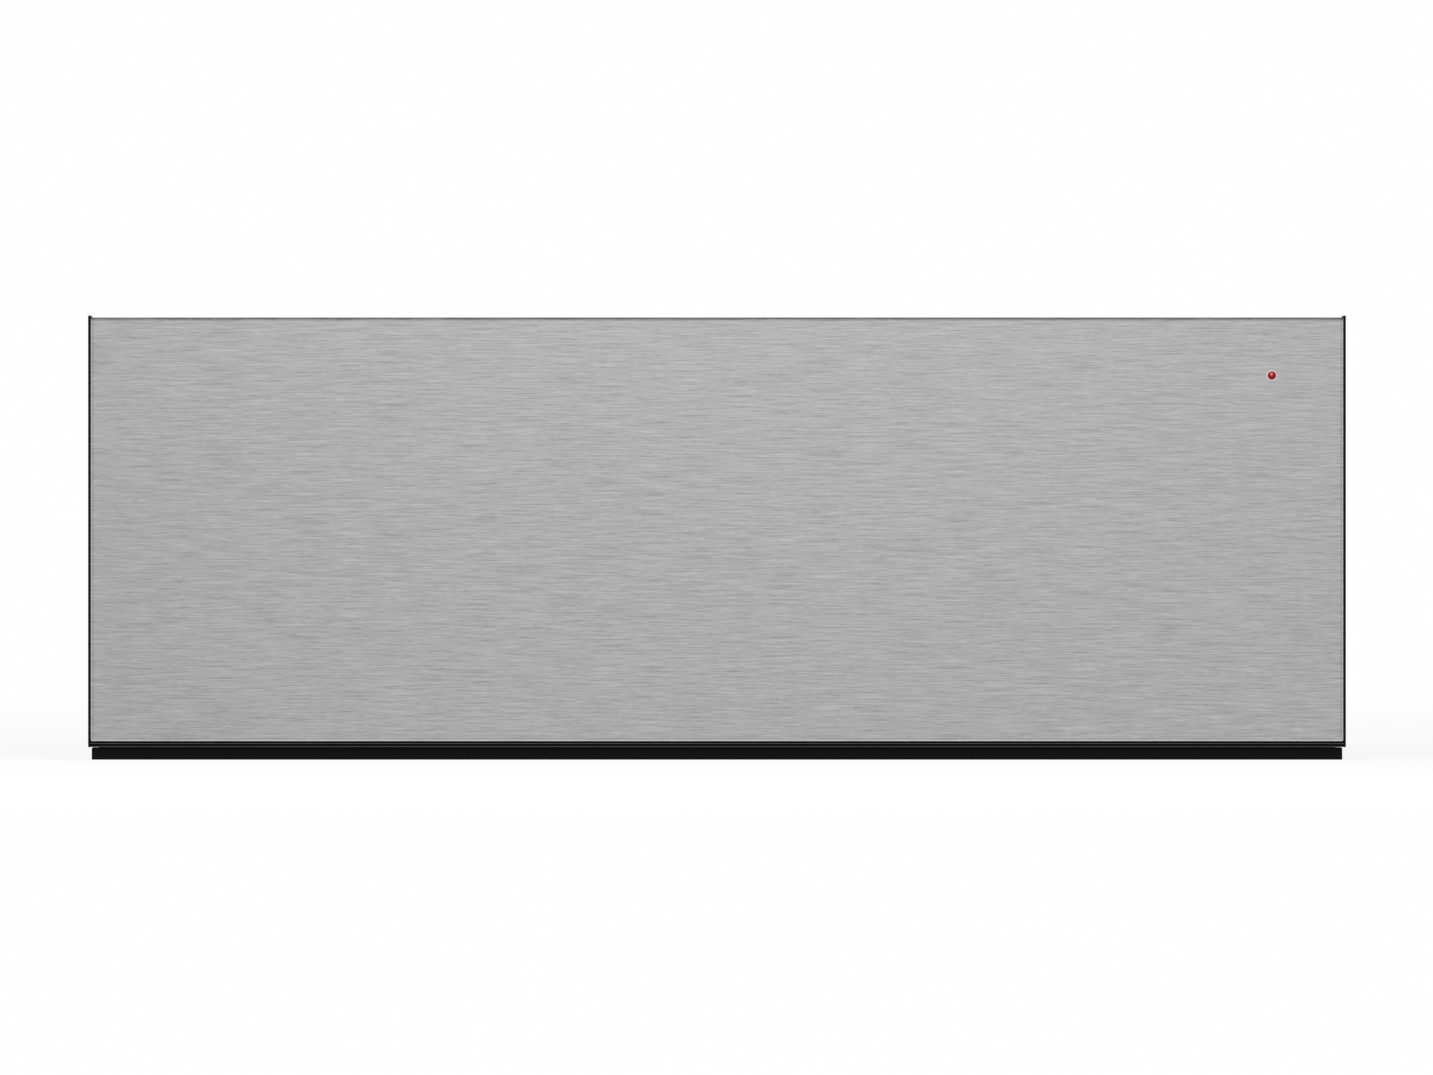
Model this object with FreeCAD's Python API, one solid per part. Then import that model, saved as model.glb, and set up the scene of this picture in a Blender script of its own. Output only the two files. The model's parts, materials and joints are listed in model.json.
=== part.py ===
"""Built-in warming drawer for a 30-inch cabinet, with a plain push-to-open steel front.

Millimetres, +Z up. The origin is the centre of the footprint, on the shelf that the feet stand on.
The front faces -Y, and the drawer opens towards -Y.
Each piece is its own solid and is written to parts/NAME.step.
"""

import FreeCAD
import Part
import math
import os

# ---------------------------------------------------------------- driving dimensions

# the front, as it is seen in the kitchen
FRONT_WIDTH = 756.0          # across the black side trims
FRONT_HEIGHT = 267.0         # from the shelf to the top of the side trims
DOOR_DEPTH = 24.0            # steel face to the back of the inner panel
SIDE_TRIM_REVEAL = 1.35      # how much of each side trim shows beside the steel
SIDE_TRIM_RISE = 1.1         # the trims stand this much above the steel
SIDE_TRIM_SETBACK = 0.6      # steel face to the trim's front edge
SIDE_TRIM_ROUND = 0.8
LIP_HEIGHT = 3.3             # black lip under the steel
LIP_SETBACK = 1.0
LIP_CLEARANCE = 0.6          # lip to the base strip below it
RIB_HEIGHT = 0.6             # the two fine ribs along the lip
RIB_PROUD = 0.4
RIB_PITCH = 1.85
SKIN_SHEET = 1.0
SKIN_EDGE_RADIUS = 1.6
SKIN_RETURN = 20.0           # depth of the folded edges
INNER_PANEL_SHEET = 1.0
INNER_PANEL_LIP = 10.0
FRONT_GAP = 4.0              # front to cabinet frame: room for the push

# indicator lamp in the front
LAMP_FROM_RIGHT = 43.2       # lamp centre to the steel's right edge
LAMP_FROM_TOP = 34.9
LAMP_DIAMETER = 4.8
LAMP_PROUD = 0.6
LAMP_HOLE_CLEARANCE = 0.1
LAMP_FLANGE_DIAMETER = 7.5
LAMP_FLANGE = 1.0
LAMP_STEM = 6.0
LAMP_HOLDER_DIAMETER = 11.0
LAMP_HOLDER_LENGTH = 12.0

# cabinet shell
CHASSIS_DEPTH = 530.0        # face of the frame to the back
CHASSIS_INSET = 26.0         # edge of the front to the shell's side
CHASSIS_DROP = 14.0          # top of the front to the shell's top
SHEET = 1.0
FOLD = 12.0                  # width of the folded flanges
PAN_FLANGE = 20.0
FRAME_SHEET = 1.5
FRAME_INSET = 5.0            # edge of the front to the frame's edge
FRAME_SILL = 9.0             # height of the frame's bottom bar
FRAME_HEAD = 17.0            # shell's top down to the frame's mouth
COLLAR_DEPTH = 16.0          # collar that grips the shell behind the frame
COLLAR_SHEET = 1.2
FIXING_HOLE = 5.0            # four holes that fix the frame to the furniture
FIXING_INSET = 6.5           # hole centre to the frame's edge
FIXING_SPACING_Z = 180.0
GASKET_WIDTH = 7.0
GASKET_CLEARANCE = 0.2       # strip to the front, pressed home
GASKET_INSET = 1.0           # from the edge of the frame's mouth
GASKET_ROUND = 0.6
FOOT_HEIGHT = 7.0
FOOT_DIAMETER = 26.0
FOOT_STEM = 8.0
FOOT_STEM_HEIGHT = 5.0
FOOT_INSET = 40.0            # foot centre to the shell's side and back
FOOT_FRONT_INSET = 60.0
FOOT_ROUND = 1.4
STRIP_INSET = 2.0            # edge of the front to the end of the base strip
STRIP_SETBACK = 4.0
STRIP_SHEET = 1.5
STRIP_TAIL = 25.0            # length under the base pan
VENT_LENGTH = 40.0
VENT_WIDTH = 4.0
VENT_PITCH = 10.0
VENT_ROWS = 6
VENT_DROP = 28.0             # shell's top to the highest vent slot
VENT_COLUMN_PITCH = 52.0     # the two columns of each group in the back
SIDE_VENT_INSET = 70.0       # side vents to the back
SHIELD_SPACE = 15.0          # room for the wool over the heat shield
SHIELD_SHEET = 0.8
SCREW_HEAD = 8.0
SCREW_HEAD_HEIGHT = 2.4
SCREW_HEAD_ROUND = 1.0
CROSS_REACH = 2.2            # cross recess: each arm's length, width and depth
CROSS_WIDTH = 1.1
CROSS_DEPTH = 1.2
SCREW_SHANK = 3.6
SCREW_LENGTH = 6.0
SCREW_CLEARANCE = 0.2
SCREWS_PER_SIDE = 3
COVER_SCREW_INSET = 60.0     # first and last screws to the cover's ends
BACK_SCREW_INSET = 24.0      # back's screws to the pan's flange and the cover

# mains terminals on the back
TERMINAL_DEPTH = 17.0
TERMINAL_WIDTH = 92.0
TERMINAL_HEIGHT = 56.0
TERMINAL_LIFT = 27.0         # underside of the shell to the terminal cover
TERMINAL_INSET = 107.0       # middle of the terminals to the shell's side
TERMINAL_WALL = 2.0
TERMINAL_EAR = 11.0          # width and height of the ears
TERMINAL_EAR_DROP = 11.0     # top of the cover to the ears' screws
TERMINAL_EAR_ROUND = 3.6
LEAD_HOLE = 8.0              # hole in the back for the mains leads
LEAD_HOLE_OFFSET = 23.0
LEAD_HOLE_DROP = 9.6
GLAND_BORE = 8.0
GLAND_DIAMETER = 14.0
GLAND_WAIST = 12.0
GLAND_FLANGE = 2.0
GLAND_LENGTH = 12.0
GLAND_LIFT = 14.0            # gland's middle over the cover's underside
BLOCK_HEIGHT = 16.0
BLOCK_LENGTH = 42.0
BLOCK_DEPTH = 12.0
BLOCK_WAYS = 3
BLOCK_LIFT = 22.0            # terminal block over the cover's underside
BLOCK_SCREW = 4.0
BLOCK_SCREW_INSET = 4.8
BLOCK_SCREW_DEPTH = 5.0

# power module on the cabinet floor
MODULE_LENGTH = 120.0
MODULE_DEPTH = 44.0
MODULE_HEIGHT = 50.0
MODULE_WALL = 2.0
MODULE_BACK_GAP = 6.0
MODULE_FOOT = 6.0            # legs of the circuit board
MODULE_SLOTS = 9
MODULE_SLOT_MARGIN = 24.0    # first and last slots to the case's ends
MODULE_SLOT_INSET = 12.0
MODULE_PART_INSET = 7.0
MODULE_PARTS = ((22.5, 4.0), (13.5, 15.0), (13.5, 15.0), (17.0, 8.0))  # length, room over it
BOARD = 1.6

# telescopic rails
RAIL_WIDTH = 12.7
RAIL_HEIGHT = 45.7
RAIL_LIFT = 50.0             # drawer's bottom to the middle of the rails
RAIL_FRONT_GAP = 5.0         # frame's face to the rail's front end
RAIL_BACK_GAP = 25.0         # rail's back end to the cabinet's back
RAIL_SHEET = 1.2
RAIL_LIP = 2.4
MIDDLE_SHEET = 1.0
OUTER_BALL = 4.0
INNER_BALL = 3.5
BALL_CLEARANCE = 0.3
CAGE_SHEET = 0.6
CAGE_STRIP = 1.0
CAGE_CLEARANCE = 0.2
CAGE_LENGTH = 250.0
CAGE_SETBACK = 143.0         # rail's front end to the cage, shut
CAGE_END = 11.0              # last ball to the cage's end
BALLS_PER_ROW = 7
RAIL_SCREWS = 3
RAIL_SCREW_FRONT = 40.0      # first screw to the rail's front end
RAIL_SCREW_BACK = 60.0       # last screw to its back end
RAIL_SCREW_HEAD_HEIGHT = 1.4
RAIL_NUT = 7.0
RAIL_NUT_HEIGHT = 3.0

# drawer box
DRAWER_LIFT = 19.0           # underside of the shell to the drawer's bottom
DRAWER_HEADROOM = 12.0       # frame's mouth to the top of the drawer's sides
DRAWER_WALL = 20.0           # width of the hollow side walls
DRAWER_SHEET = 1.0
DRAWER_EDGE_RADIUS = 3.0
DRAWER_BACK_SPACE = 62.0     # room behind the drawer for its fan and latches
FRONT_CAVITY = 30.0          # behind the front, for the wiring
PAN_HEIGHT = 26.0
LEDGE = 16.0                 # folded edge that the glass lies on
GLASS = 4.0
GLASS_CLEARANCE = 0.8
GLASS_EDGE_RADIUS = 0.8
FLOOR_WOOL = 9.0
REFLECTOR_HEIGHT = 11.0
REFLECTOR_INSET = 14.0
HEATER_TUBE = 6.5
HEATER_RUNS = 6
HEATER_MARGIN = 54.0         # element to the drawer's walls, along its runs
HEATER_END_MARGIN = 75.0     # first and last runs to the drawer's walls
SENSOR_DIAMETER = 16.0
SENSOR_FLANGE = 24.0
SENSOR_FLANGE_HEIGHT = 1.2
STRIKER_SIZE = 34.0
STRIKER_SHEET = 2.0
REAR_WALL_FOLD = 8.0

# fan heater behind the rear wall
FAN_HOUSING_WIDTH = 330.0
FAN_HOUSING_DEPTH = 32.0
FAN_HOUSING_SHEET = 0.8
FAN_DIAMETER = 108.0
FAN_BLADES = 20
FAN_BLADE_HEIGHT = 16.0
FAN_BLADE_LENGTH = 18.0
FAN_BLADE_THICKNESS = 0.8
FAN_BLADE_LEAN = 30.0        # degrees from radial
FAN_DISC = 1.0
FAN_FRONT_GAP = 6.0
FAN_HUB = 16.0
FAN_SHAFT = 5.0
FAN_SHAFT_CLEARANCE = 0.05
FAN_SHAFT_DEPTH = 14.4       # how far the shaft runs into the motor
FAN_SHAFT_END_GAP = 2.4
HOUSING_BORE = 10.0
MOTOR_DIAMETER = 64.0
MOTOR_LENGTH = 24.0
MOTOR_EAR = 10.0
MOTOR_EAR_SHEET = 2.0
MOTOR_ROUND = 3.0
RING_GAP = 9.75              # fan wheel to the ring element
RING_CLEARANCE = 4.0         # ring element to its housing
RING_TUBE = 6.5
RING_STAY = 4.0
RING_STAYS = 3
RING_FIRST_STAY = 90.0       # degrees
INTAKE_RINGS = 3
INTAKE_PITCH = 14.0
INTAKE_FIRST = 18.0
INTAKE_HOLE = 5.0
INTAKE_COUNT = 8             # holes in the first ring, and how many more in each next
OUTLET_LENGTH = 50.0
OUTLET_WIDTH = 5.0
OUTLET_PITCH = 12.0
OUTLET_ROWS = 6
OUTLET_X = 118.0

# control strip inside the front
FASCIA_DEPTH = 62.0
FASCIA_DROP = 12.0           # top of the drawer's sides to the control strip
FASCIA_HEIGHT = 25.0
FASCIA_WALL = 2.5
FASCIA_CLEARANCE = 0.3
FASCIA_EDGE_RADIUS = 5.0
CONTROL_INSET = 133.0        # middle of the circuit board to the drawer's wall
KNOB_OFFSET = 5.0            # knob to the right of the board's middle
KNOB_DIAMETER = 34.0
KNOB_HEIGHT = 11.0
KNOB_GAP = 0.8
KNOB_RECESS = 1.0
KNOB_RECESS_CLEARANCE = 2.0
KNOB_SKIRT = 4.4
KNOB_SKIRT_ROUND = 0.9
KNOB_GRIP = 8.8
KNOB_GRIP_LENGTH = 30.0
KNOB_GRIP_ROUND = 1.1
SHAFT_DIAMETER = 6.0
SHAFT_CLEARANCE = 0.08
SHAFT_HOLE_CLEARANCE = 0.5
SELECTOR_BODY = 18.0
SELECTOR_BODY_HEIGHT = 7.0
BUTTON_OFFSET = 77.0
BUTTON_DIAMETER = 15.0
BUTTON_PROUD = 3.0
BUTTON_CLEARANCE = 0.3
BUTTON_CAP = 5.5
BUTTON_ROUND = 1.0
BUTTON_SPRING = 8.0
BUTTON_SPRING_BORE = 6.4
BUTTON_STEM = 4.0
BUTTON_TRAVEL = 2.0
SWITCH_SIZE = 9.0
SWITCH_HEIGHT = 4.0
SWITCH_STEM_GAP = 0.4        # stem to switch when the button is pressed home
LEVEL_LAMPS = 4
LEVEL_LAMP = 3.0
LEVEL_LAMP_FOOT = 4.6
LEVEL_LAMP_PITCH = 11.0
LEVEL_LAMP_OFFSET = -85.0
BOARD_LENGTH = 240.0
BOARD_DEPTH = 34.0
BOARD_DROP = 11.0            # fascia's top to the board's top
POST_DIAMETER = 5.0

# push latches
LATCH_LIFT = 78.0            # drawer's bottom to the middle of the latches
LATCH_INSET = 117.0          # latch to the shell's side
LATCH_DIAMETER = 20.0
LATCH_FLANGE_WIDTH = 44.0
LATCH_FLANGE_HEIGHT = 30.0
LATCH_FLANGE = 3.0
LATCH_NOSE_GAP = 6.0         # striker to the housing's nose
LATCH_PUSH = 2.0             # how far the front is pressed to release it
LATCH_STROKE = 35.0          # how far the latches then push the drawer out
TRAVEL_RESERVE = 100.0       # cabinet's depth less the drawer's whole travel
PLUNGER_DIAMETER = 12.0
PLUNGER_CLEARANCE = 0.3
PLUNGER_BORE = 8.4
MAGNET_LENGTH = 4.0
MAGNET_DIAMETER = 10.0
MAGNET_AIR = 0.1
LATCH_SPRING = 7.6
LATCH_SPRING_WIRE = 0.8
LATCH_SPRING_TURNS = 8

# moving flat cable under the drawer, and its wiring
RIBBON_WIDTH = 24.0
RIBBON_THICKNESS = 1.6
RIBBON_BEND = 16.0           # outer diameter of its half turn
RIBBON_FRONT_GAP = 2.0       # half turn to the frame, with the drawer open
RIBBON_OFFSET = -45.0        # cable to the middle of the power module
JUNCTION_LENGTH = 20.0
JUNCTION_INSET = 3.0         # junction box to the drawer's rear wall
JUNCTION_WALL = 3.0
JUNCTION_DROP = 1.0          # its underside below the flat cable
JUNCTION_ROUND = 1.0
WIRE_DIAMETER = 5.0
WIRE_SPACING = 60.0          # round cable to the flat one
WIRE_BEND = 10.0

OVERCUT = 1.0                # cuts reach this far past a face
SAME = 1e-4                  # places closer than this are the same

# ---------------------------------------------------------------- places worked out from them

OVERALL_DEPTH = LAMP_PROUD + DOOR_DEPTH + FRONT_GAP + CHASSIS_DEPTH + TERMINAL_DEPTH
FACE_Y = -OVERALL_DEPTH / 2 + LAMP_PROUD
SKIN_BACK_Y = FACE_Y + SKIN_SHEET
DOOR_BACK_Y = FACE_Y + DOOR_DEPTH
FRAME_Y = DOOR_BACK_Y + FRONT_GAP
SHELL_Y = FRAME_Y + FRAME_SHEET
BACK_Y = FRAME_Y + CHASSIS_DEPTH
BACK_IN_Y = BACK_Y - SHEET
FLANGE_Y = BACK_IN_Y - SHEET

LIP_BOTTOM = FOOT_HEIGHT + LIP_CLEARANCE
SKIN_BOTTOM = LIP_BOTTOM + LIP_HEIGHT
SKIN_TOP = FRONT_HEIGHT - SIDE_TRIM_RISE
SKIN_HALF = FRONT_WIDTH / 2 - SIDE_TRIM_REVEAL
LAMP_X = SKIN_HALF - LAMP_FROM_RIGHT
LAMP_Z = SKIN_TOP - LAMP_FROM_TOP

CHASSIS_HALF = FRONT_WIDTH / 2 - CHASSIS_INSET
CHASSIS_TOP = FRONT_HEIGHT - CHASSIS_DROP
WALL_IN_X = CHASSIS_HALF - SHEET
FLANGE_IN_X = WALL_IN_X - FOLD
FLANGE_MID_X = WALL_IN_X - FOLD / 2
PAN_TOP = FOOT_HEIGHT + SHEET
PAN_FLANGE_TOP = PAN_TOP + PAN_FLANGE
COVER_BOTTOM = CHASSIS_TOP - SHEET
SHIELD_BOTTOM = COVER_BOTTOM - SHIELD_SPACE
FRAME_HALF = FRONT_WIDTH / 2 - FRAME_INSET
FRAME_TOP = FRONT_HEIGHT - FRAME_INSET
MOUTH_BOTTOM = FOOT_HEIGHT + FRAME_SILL
MOUTH_TOP = CHASSIS_TOP - FRAME_HEAD
MOUTH_MID_Z = (MOUTH_BOTTOM + MOUTH_TOP) / 2

TERMINAL_X = CHASSIS_HALF - TERMINAL_INSET
TERMINAL_BOTTOM = FOOT_HEIGHT + TERMINAL_LIFT
TERMINAL_TOP = TERMINAL_BOTTOM + TERMINAL_HEIGHT
TERMINAL_LEFT = TERMINAL_X - TERMINAL_WIDTH / 2
TERMINAL_RIGHT = TERMINAL_X + TERMINAL_WIDTH / 2
GLAND_Y = BACK_Y + (TERMINAL_DEPTH - TERMINAL_WALL) / 2
GLAND_Z = TERMINAL_BOTTOM + GLAND_LIFT
EAR_Z = TERMINAL_TOP - TERMINAL_EAR_DROP

DRAWER_BOTTOM = FOOT_HEIGHT + DRAWER_LIFT
DRAWER_TOP = MOUTH_TOP - DRAWER_HEADROOM
DRAWER_SIDE_X = WALL_IN_X - RAIL_WIDTH
DRAWER_IN_X = DRAWER_SIDE_X - DRAWER_WALL
REAR_WALL_Y = BACK_IN_Y - DRAWER_BACK_SPACE - DRAWER_SHEET
REAR_BACK_Y = REAR_WALL_Y + DRAWER_SHEET
FRONT_WALL_Y = DOOR_BACK_Y + FRONT_CAVITY
PAN_FRONT_Y = FRONT_WALL_Y + DRAWER_SHEET
FLOOR_TOP = DRAWER_BOTTOM + DRAWER_SHEET
LEDGE_TOP = DRAWER_BOTTOM + PAN_HEIGHT
GLASS_TOP = LEDGE_TOP + GLASS
REFLECTOR_TOP = FLOOR_TOP + REFLECTOR_HEIGHT
HEATER_Z = REFLECTOR_TOP + HEATER_TUBE / 2

RAIL_Z = DRAWER_BOTTOM + RAIL_LIFT
RAIL_FRONT_Y = FRAME_Y + RAIL_FRONT_GAP
RAIL_BACK_Y = BACK_Y - RAIL_BACK_GAP
CAGE_FRONT_Y = RAIL_FRONT_Y + CAGE_SETBACK
CAGE_BACK_Y = CAGE_FRONT_Y + CAGE_LENGTH
OUTER_HALF = RAIL_HEIGHT / 2
MIDDLE_HALF = OUTER_HALF - RAIL_SHEET - OUTER_BALL - 2 * BALL_CLEARANCE
INNER_HALF = MIDDLE_HALF - MIDDLE_SHEET - INNER_BALL - 2 * BALL_CLEARANCE
OUTER_ROW = OUTER_HALF - RAIL_SHEET - BALL_CLEARANCE - OUTER_BALL / 2
INNER_ROW = MIDDLE_HALF - MIDDLE_SHEET - BALL_CLEARANCE - INNER_BALL / 2
# across the rail, measured inwards from the cabinet's wall
OUTER_OPEN = RAIL_WIDTH - RAIL_SHEET
OUTER_CAGE_WEB = RAIL_SHEET + CAGE_CLEARANCE
MIDDLE_WEB = OUTER_CAGE_WEB + CAGE_SHEET + CAGE_CLEARANCE
MIDDLE_OPEN = OUTER_OPEN - RAIL_SHEET + CAGE_CLEARANCE
OUTER_CAGE_OPEN = OUTER_OPEN - RAIL_SHEET - CAGE_CLEARANCE
INNER_CAGE_WEB = MIDDLE_WEB + MIDDLE_SHEET + CAGE_CLEARANCE
INNER_CAGE_OPEN = MIDDLE_OPEN
INNER_OPEN = INNER_CAGE_WEB + CAGE_SHEET + 2 * CAGE_CLEARANCE

FAN_Z = (LEDGE_TOP + DRAWER_TOP) / 2
RING_RADIUS = FAN_DIAMETER / 2 + RING_GAP + RING_TUBE / 2
HOUSING_HALF_HEIGHT = RING_RADIUS + RING_TUBE / 2 + RING_CLEARANCE + FAN_HOUSING_SHEET
HOUSING_BACK_Y = REAR_BACK_Y + FAN_HOUSING_DEPTH
WHEEL_FRONT_Y = REAR_BACK_Y + FAN_FRONT_GAP
WHEEL_BACK_Y = WHEEL_FRONT_Y + FAN_BLADE_HEIGHT
MOTOR_BACK_Y = HOUSING_BACK_Y + MOTOR_LENGTH
SHAFT_END_Y = HOUSING_BACK_Y + FAN_SHAFT_DEPTH

FASCIA_TOP = DRAWER_TOP - FASCIA_DROP
FASCIA_BOTTOM = FASCIA_TOP - FASCIA_HEIGHT
FASCIA_FRONT_Y = DOOR_BACK_Y + FASCIA_CLEARANCE
FASCIA_BACK_Y = DOOR_BACK_Y + FASCIA_DEPTH
FASCIA_MID_Y = DOOR_BACK_Y + FASCIA_DEPTH / 2
CONTROL_X = DRAWER_IN_X - CONTROL_INSET
KNOB_X = CONTROL_X + KNOB_OFFSET
BUTTON_X = CONTROL_X + BUTTON_OFFSET
BOARD_TOP = FASCIA_TOP - BOARD_DROP
BUTTON_TOP = FASCIA_TOP + BUTTON_PROUD
BUTTON_BOTTOM = BUTTON_TOP - BUTTON_CAP
SWITCH_TOP = BOARD_TOP + SWITCH_HEIGHT
STEM_BOTTOM = SWITCH_TOP + SWITCH_STEM_GAP + BUTTON_TRAVEL
KNOB_BOTTOM = FASCIA_TOP - KNOB_RECESS + KNOB_GAP
KNOB_TOP = KNOB_BOTTOM + KNOB_HEIGHT

LATCH_X = CHASSIS_HALF - LATCH_INSET
LATCH_Z = DRAWER_BOTTOM + LATCH_LIFT
STRIKER_BACK_Y = REAR_BACK_Y + STRIKER_SHEET
LATCH_FRONT_Y = STRIKER_BACK_Y + LATCH_NOSE_GAP
LATCH_BORE_END_Y = BACK_IN_Y - LATCH_FLANGE
PLUNGER_FRONT_Y = STRIKER_BACK_Y + MAGNET_AIR
PLUNGER_BACK_Y = LATCH_BORE_END_Y - 2 * LATCH_PUSH
SPRING_FRONT_Y = PLUNGER_FRONT_Y + 2 * MAGNET_LENGTH

MODULE_LEFT = TERMINAL_X - MODULE_LENGTH / 2
MODULE_RIGHT = TERMINAL_X + MODULE_LENGTH / 2
MODULE_BACK_Y = FLANGE_Y - MODULE_BACK_GAP
MODULE_FRONT_Y = MODULE_BACK_Y - MODULE_DEPTH
MODULE_TOP = PAN_TOP + MODULE_HEIGHT
RIBBON_LEFT = TERMINAL_X + RIBBON_OFFSET - RIBBON_WIDTH / 2
RIBBON_RIGHT = RIBBON_LEFT + RIBBON_WIDTH
DRAWER_TRAVEL = CHASSIS_DEPTH - TRAVEL_RESERVE
MIDDLE_TRAVEL = LATCH_STROKE + (DRAWER_TRAVEL - LATCH_STROKE) / 2
RIBBON_BEND_Y = SHELL_Y + RIBBON_FRONT_GAP + RIBBON_BEND / 2 + MIDDLE_TRAVEL
RIBBON_MID_Z = PAN_TOP + RIBBON_BEND / 2
RIBBON_TOP = PAN_TOP + RIBBON_BEND
WIRE_X = RIBBON_LEFT + RIBBON_WIDTH / 2 - WIRE_SPACING
WIRE_Y = FASCIA_MID_Y - BOARD_DEPTH / 2 + WIRE_DIAMETER
WIRE_Z = DRAWER_BOTTOM - WIRE_DIAMETER / 2
JUNCTION_BACK_Y = REAR_WALL_Y - JUNCTION_INSET
JUNCTION_FRONT_Y = JUNCTION_BACK_Y - JUNCTION_LENGTH


# ---------------------------------------------------------------- helpers

def point(x, y, z):
    return FreeCAD.Vector(x, y, z)


def near(a, b):
    return abs(a - b) < SAME


def block(x0, x1, y0, y1, z0, z1):
    """A box between two corners."""
    return Part.makeBox(x1 - x0, y1 - y0, z1 - z0, point(x0, y0, z0))


def rod_x(x0, x1, y, z, diameter):
    return Part.makeCylinder(diameter / 2, x1 - x0, point(x0, y, z), point(1, 0, 0))


def rod_y(x, y0, y1, z, diameter):
    return Part.makeCylinder(diameter / 2, y1 - y0, point(x, y0, z), point(0, 1, 0))


def rod_z(x, y, z0, z1, diameter):
    return Part.makeCylinder(diameter / 2, z1 - z0, point(x, y, z0), point(0, 0, 1))


def group(shapes):
    """Separate solids that share one node."""
    return Part.makeCompound(shapes)


def mirrored(shape):
    """The same piece on the other side of the middle."""
    return shape.mirror(point(0, 0, 0), point(1, 0, 0))


def both_sides(shape):
    return group([shape, mirrored(shape)])


def joined(shapes):
    """One solid from shapes that overlap or share a face."""
    return shapes[0].fuse(shapes[1:]).removeSplitter()


def without(shape, cuts):
    return shape.cut(group(cuts))


def tray(x0, x1, y0, y1, z0, z1, sheet):
    """An open-topped box of sheet metal."""
    hollow = block(x0 + sheet, x1 - sheet, y0 + sheet, y1 - sheet, z0 + sheet, z1)
    return block(x0, x1, y0, y1, z0, z1).cut(hollow)


def spread(count, first, last):
    """Evenly spaced places from first to last."""
    step = (last - first) / (count - 1)
    return [first + step * i for i in range(count)]


def rounded(shape, radius, wanted):
    """Rounds the edges that the test picks by their bounding box."""
    return shape.makeFillet(radius, [e for e in shape.Edges if wanted(e.BoundBox)])


def slot_y(x, y0, y1, z, length, width):
    """A round-ended slot along X, cut from y0 to y1."""
    half = (length - width) / 2
    ends = [rod_y(x + side * half, y0, y1, z, width) for side in (-1, 1)]
    return joined([block(x - half, x + half, y0, y1, z - width / 2, z + width / 2)] + ends)


def slot_x(x0, x1, y, z, length, width):
    """A round-ended slot along Y, cut from x0 to x1."""
    half = (length - width) / 2
    ends = [rod_x(x0, x1, y + side * half, z, width) for side in (-1, 1)]
    return joined([block(x0, x1, y - half, y + half, z - width / 2, z + width / 2)] + ends)


def screw(place, way):
    """A pan-head screw with a cross recess: its head sits at place and faces way."""
    head = Part.makeCylinder(SCREW_HEAD / 2, SCREW_HEAD_HEIGHT, place, way)
    top = place + way * SCREW_HEAD_HEIGHT
    rim = [e for e in head.Edges if e.Curve.TypeId == "Part::GeomCircle"
           and (e.Curve.Center - top).Length < SAME]
    head = head.makeFillet(SCREW_HEAD_ROUND, rim)
    shank = Part.makeCylinder(SCREW_SHANK / 2, SCREW_LENGTH, place, way.negative())
    cross = []
    for arm in (point(1, 0, 0), UP):
        arm = BACKWARDS if arm == way else arm
        side = way.cross(arm)
        half = arm * CROSS_REACH + side * (CROSS_WIDTH / 2) + way * CROSS_DEPTH
        half = point(abs(half.x), abs(half.y), abs(half.z))
        cross.append(Part.makeBox(2 * half.x, 2 * half.y, 2 * half.z, top - half))
    return without(joined([head, shank]), cross)


def screw_hole(place, way):
    reach = SCREW_LENGTH + SCREW_HEAD_HEIGHT
    radius = SCREW_SHANK / 2 + SCREW_CLEARANCE
    return Part.makeCylinder(radius, 2 * reach, place + way * reach, way.negative())


def tube_along(points, radii, diameter):
    """A tube along straight runs joined by tangent arcs, one radius for each inner point."""
    edges = []
    start = points[0]
    for i, radius in enumerate(radii, 1):
        before = (points[i] - points[i - 1]).normalize()
        after = (points[i + 1] - points[i]).normalize()
        half_turn = before.getAngle(after) / 2
        enter = points[i] - before * (radius * math.tan(half_turn))
        leave = points[i] + after * (radius * math.tan(half_turn))
        inward = (after - before).normalize()
        middle = points[i] + inward * (radius / math.cos(half_turn) - radius)
        edges.append(Part.LineSegment(start, enter).toShape())
        edges.append(Part.Arc(enter, middle, leave).toShape())
        start = leave
    edges.append(Part.LineSegment(start, points[-1]).toShape())
    way = (points[1] - points[0]).normalize()
    section = Part.Wire(Part.Circle(points[0], way, diameter / 2).toShape())
    return Part.Wire(edges).makePipeShell([section], True, False)


UP = point(0, 0, 1)
BACKWARDS = point(0, 1, 0)


# ---------------------------------------------------------------- the front

def front_skin():
    """Brushed steel face with its four edges folded back."""
    t = SKIN_SHEET
    y1 = FACE_Y + SKIN_RETURN
    outer = block(-SKIN_HALF, SKIN_HALF, FACE_Y, y1, SKIN_BOTTOM, SKIN_TOP)
    outer = rounded(outer, SKIN_EDGE_RADIUS, lambda b: near(b.YMax, FACE_Y))
    inner = block(-SKIN_HALF + t, SKIN_HALF - t, SKIN_BACK_Y, y1, SKIN_BOTTOM + t, SKIN_TOP - t)
    inner = rounded(inner, SKIN_EDGE_RADIUS - t, lambda b: near(b.YMax, SKIN_BACK_Y))
    hole = LAMP_DIAMETER + 2 * LAMP_HOLE_CLEARANCE
    return without(outer, [inner, rod_y(LAMP_X, FACE_Y - OVERCUT, SKIN_BACK_Y + OVERCUT, LAMP_Z, hole)])


def front_side_trim():
    """Black strip along the right edge of the front, rounded outside and on top."""
    x1 = FRONT_WIDTH / 2
    y0 = FACE_Y + SIDE_TRIM_SETBACK
    strip = block(SKIN_HALF, x1, y0, DOOR_BACK_Y, LIP_BOTTOM, FRONT_HEIGHT)
    return rounded(strip, SIDE_TRIM_ROUND,
                   lambda b: near(b.YMax, y0) and (near(b.XMin, x1) or near(b.ZMin, FRONT_HEIGHT)))


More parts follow.
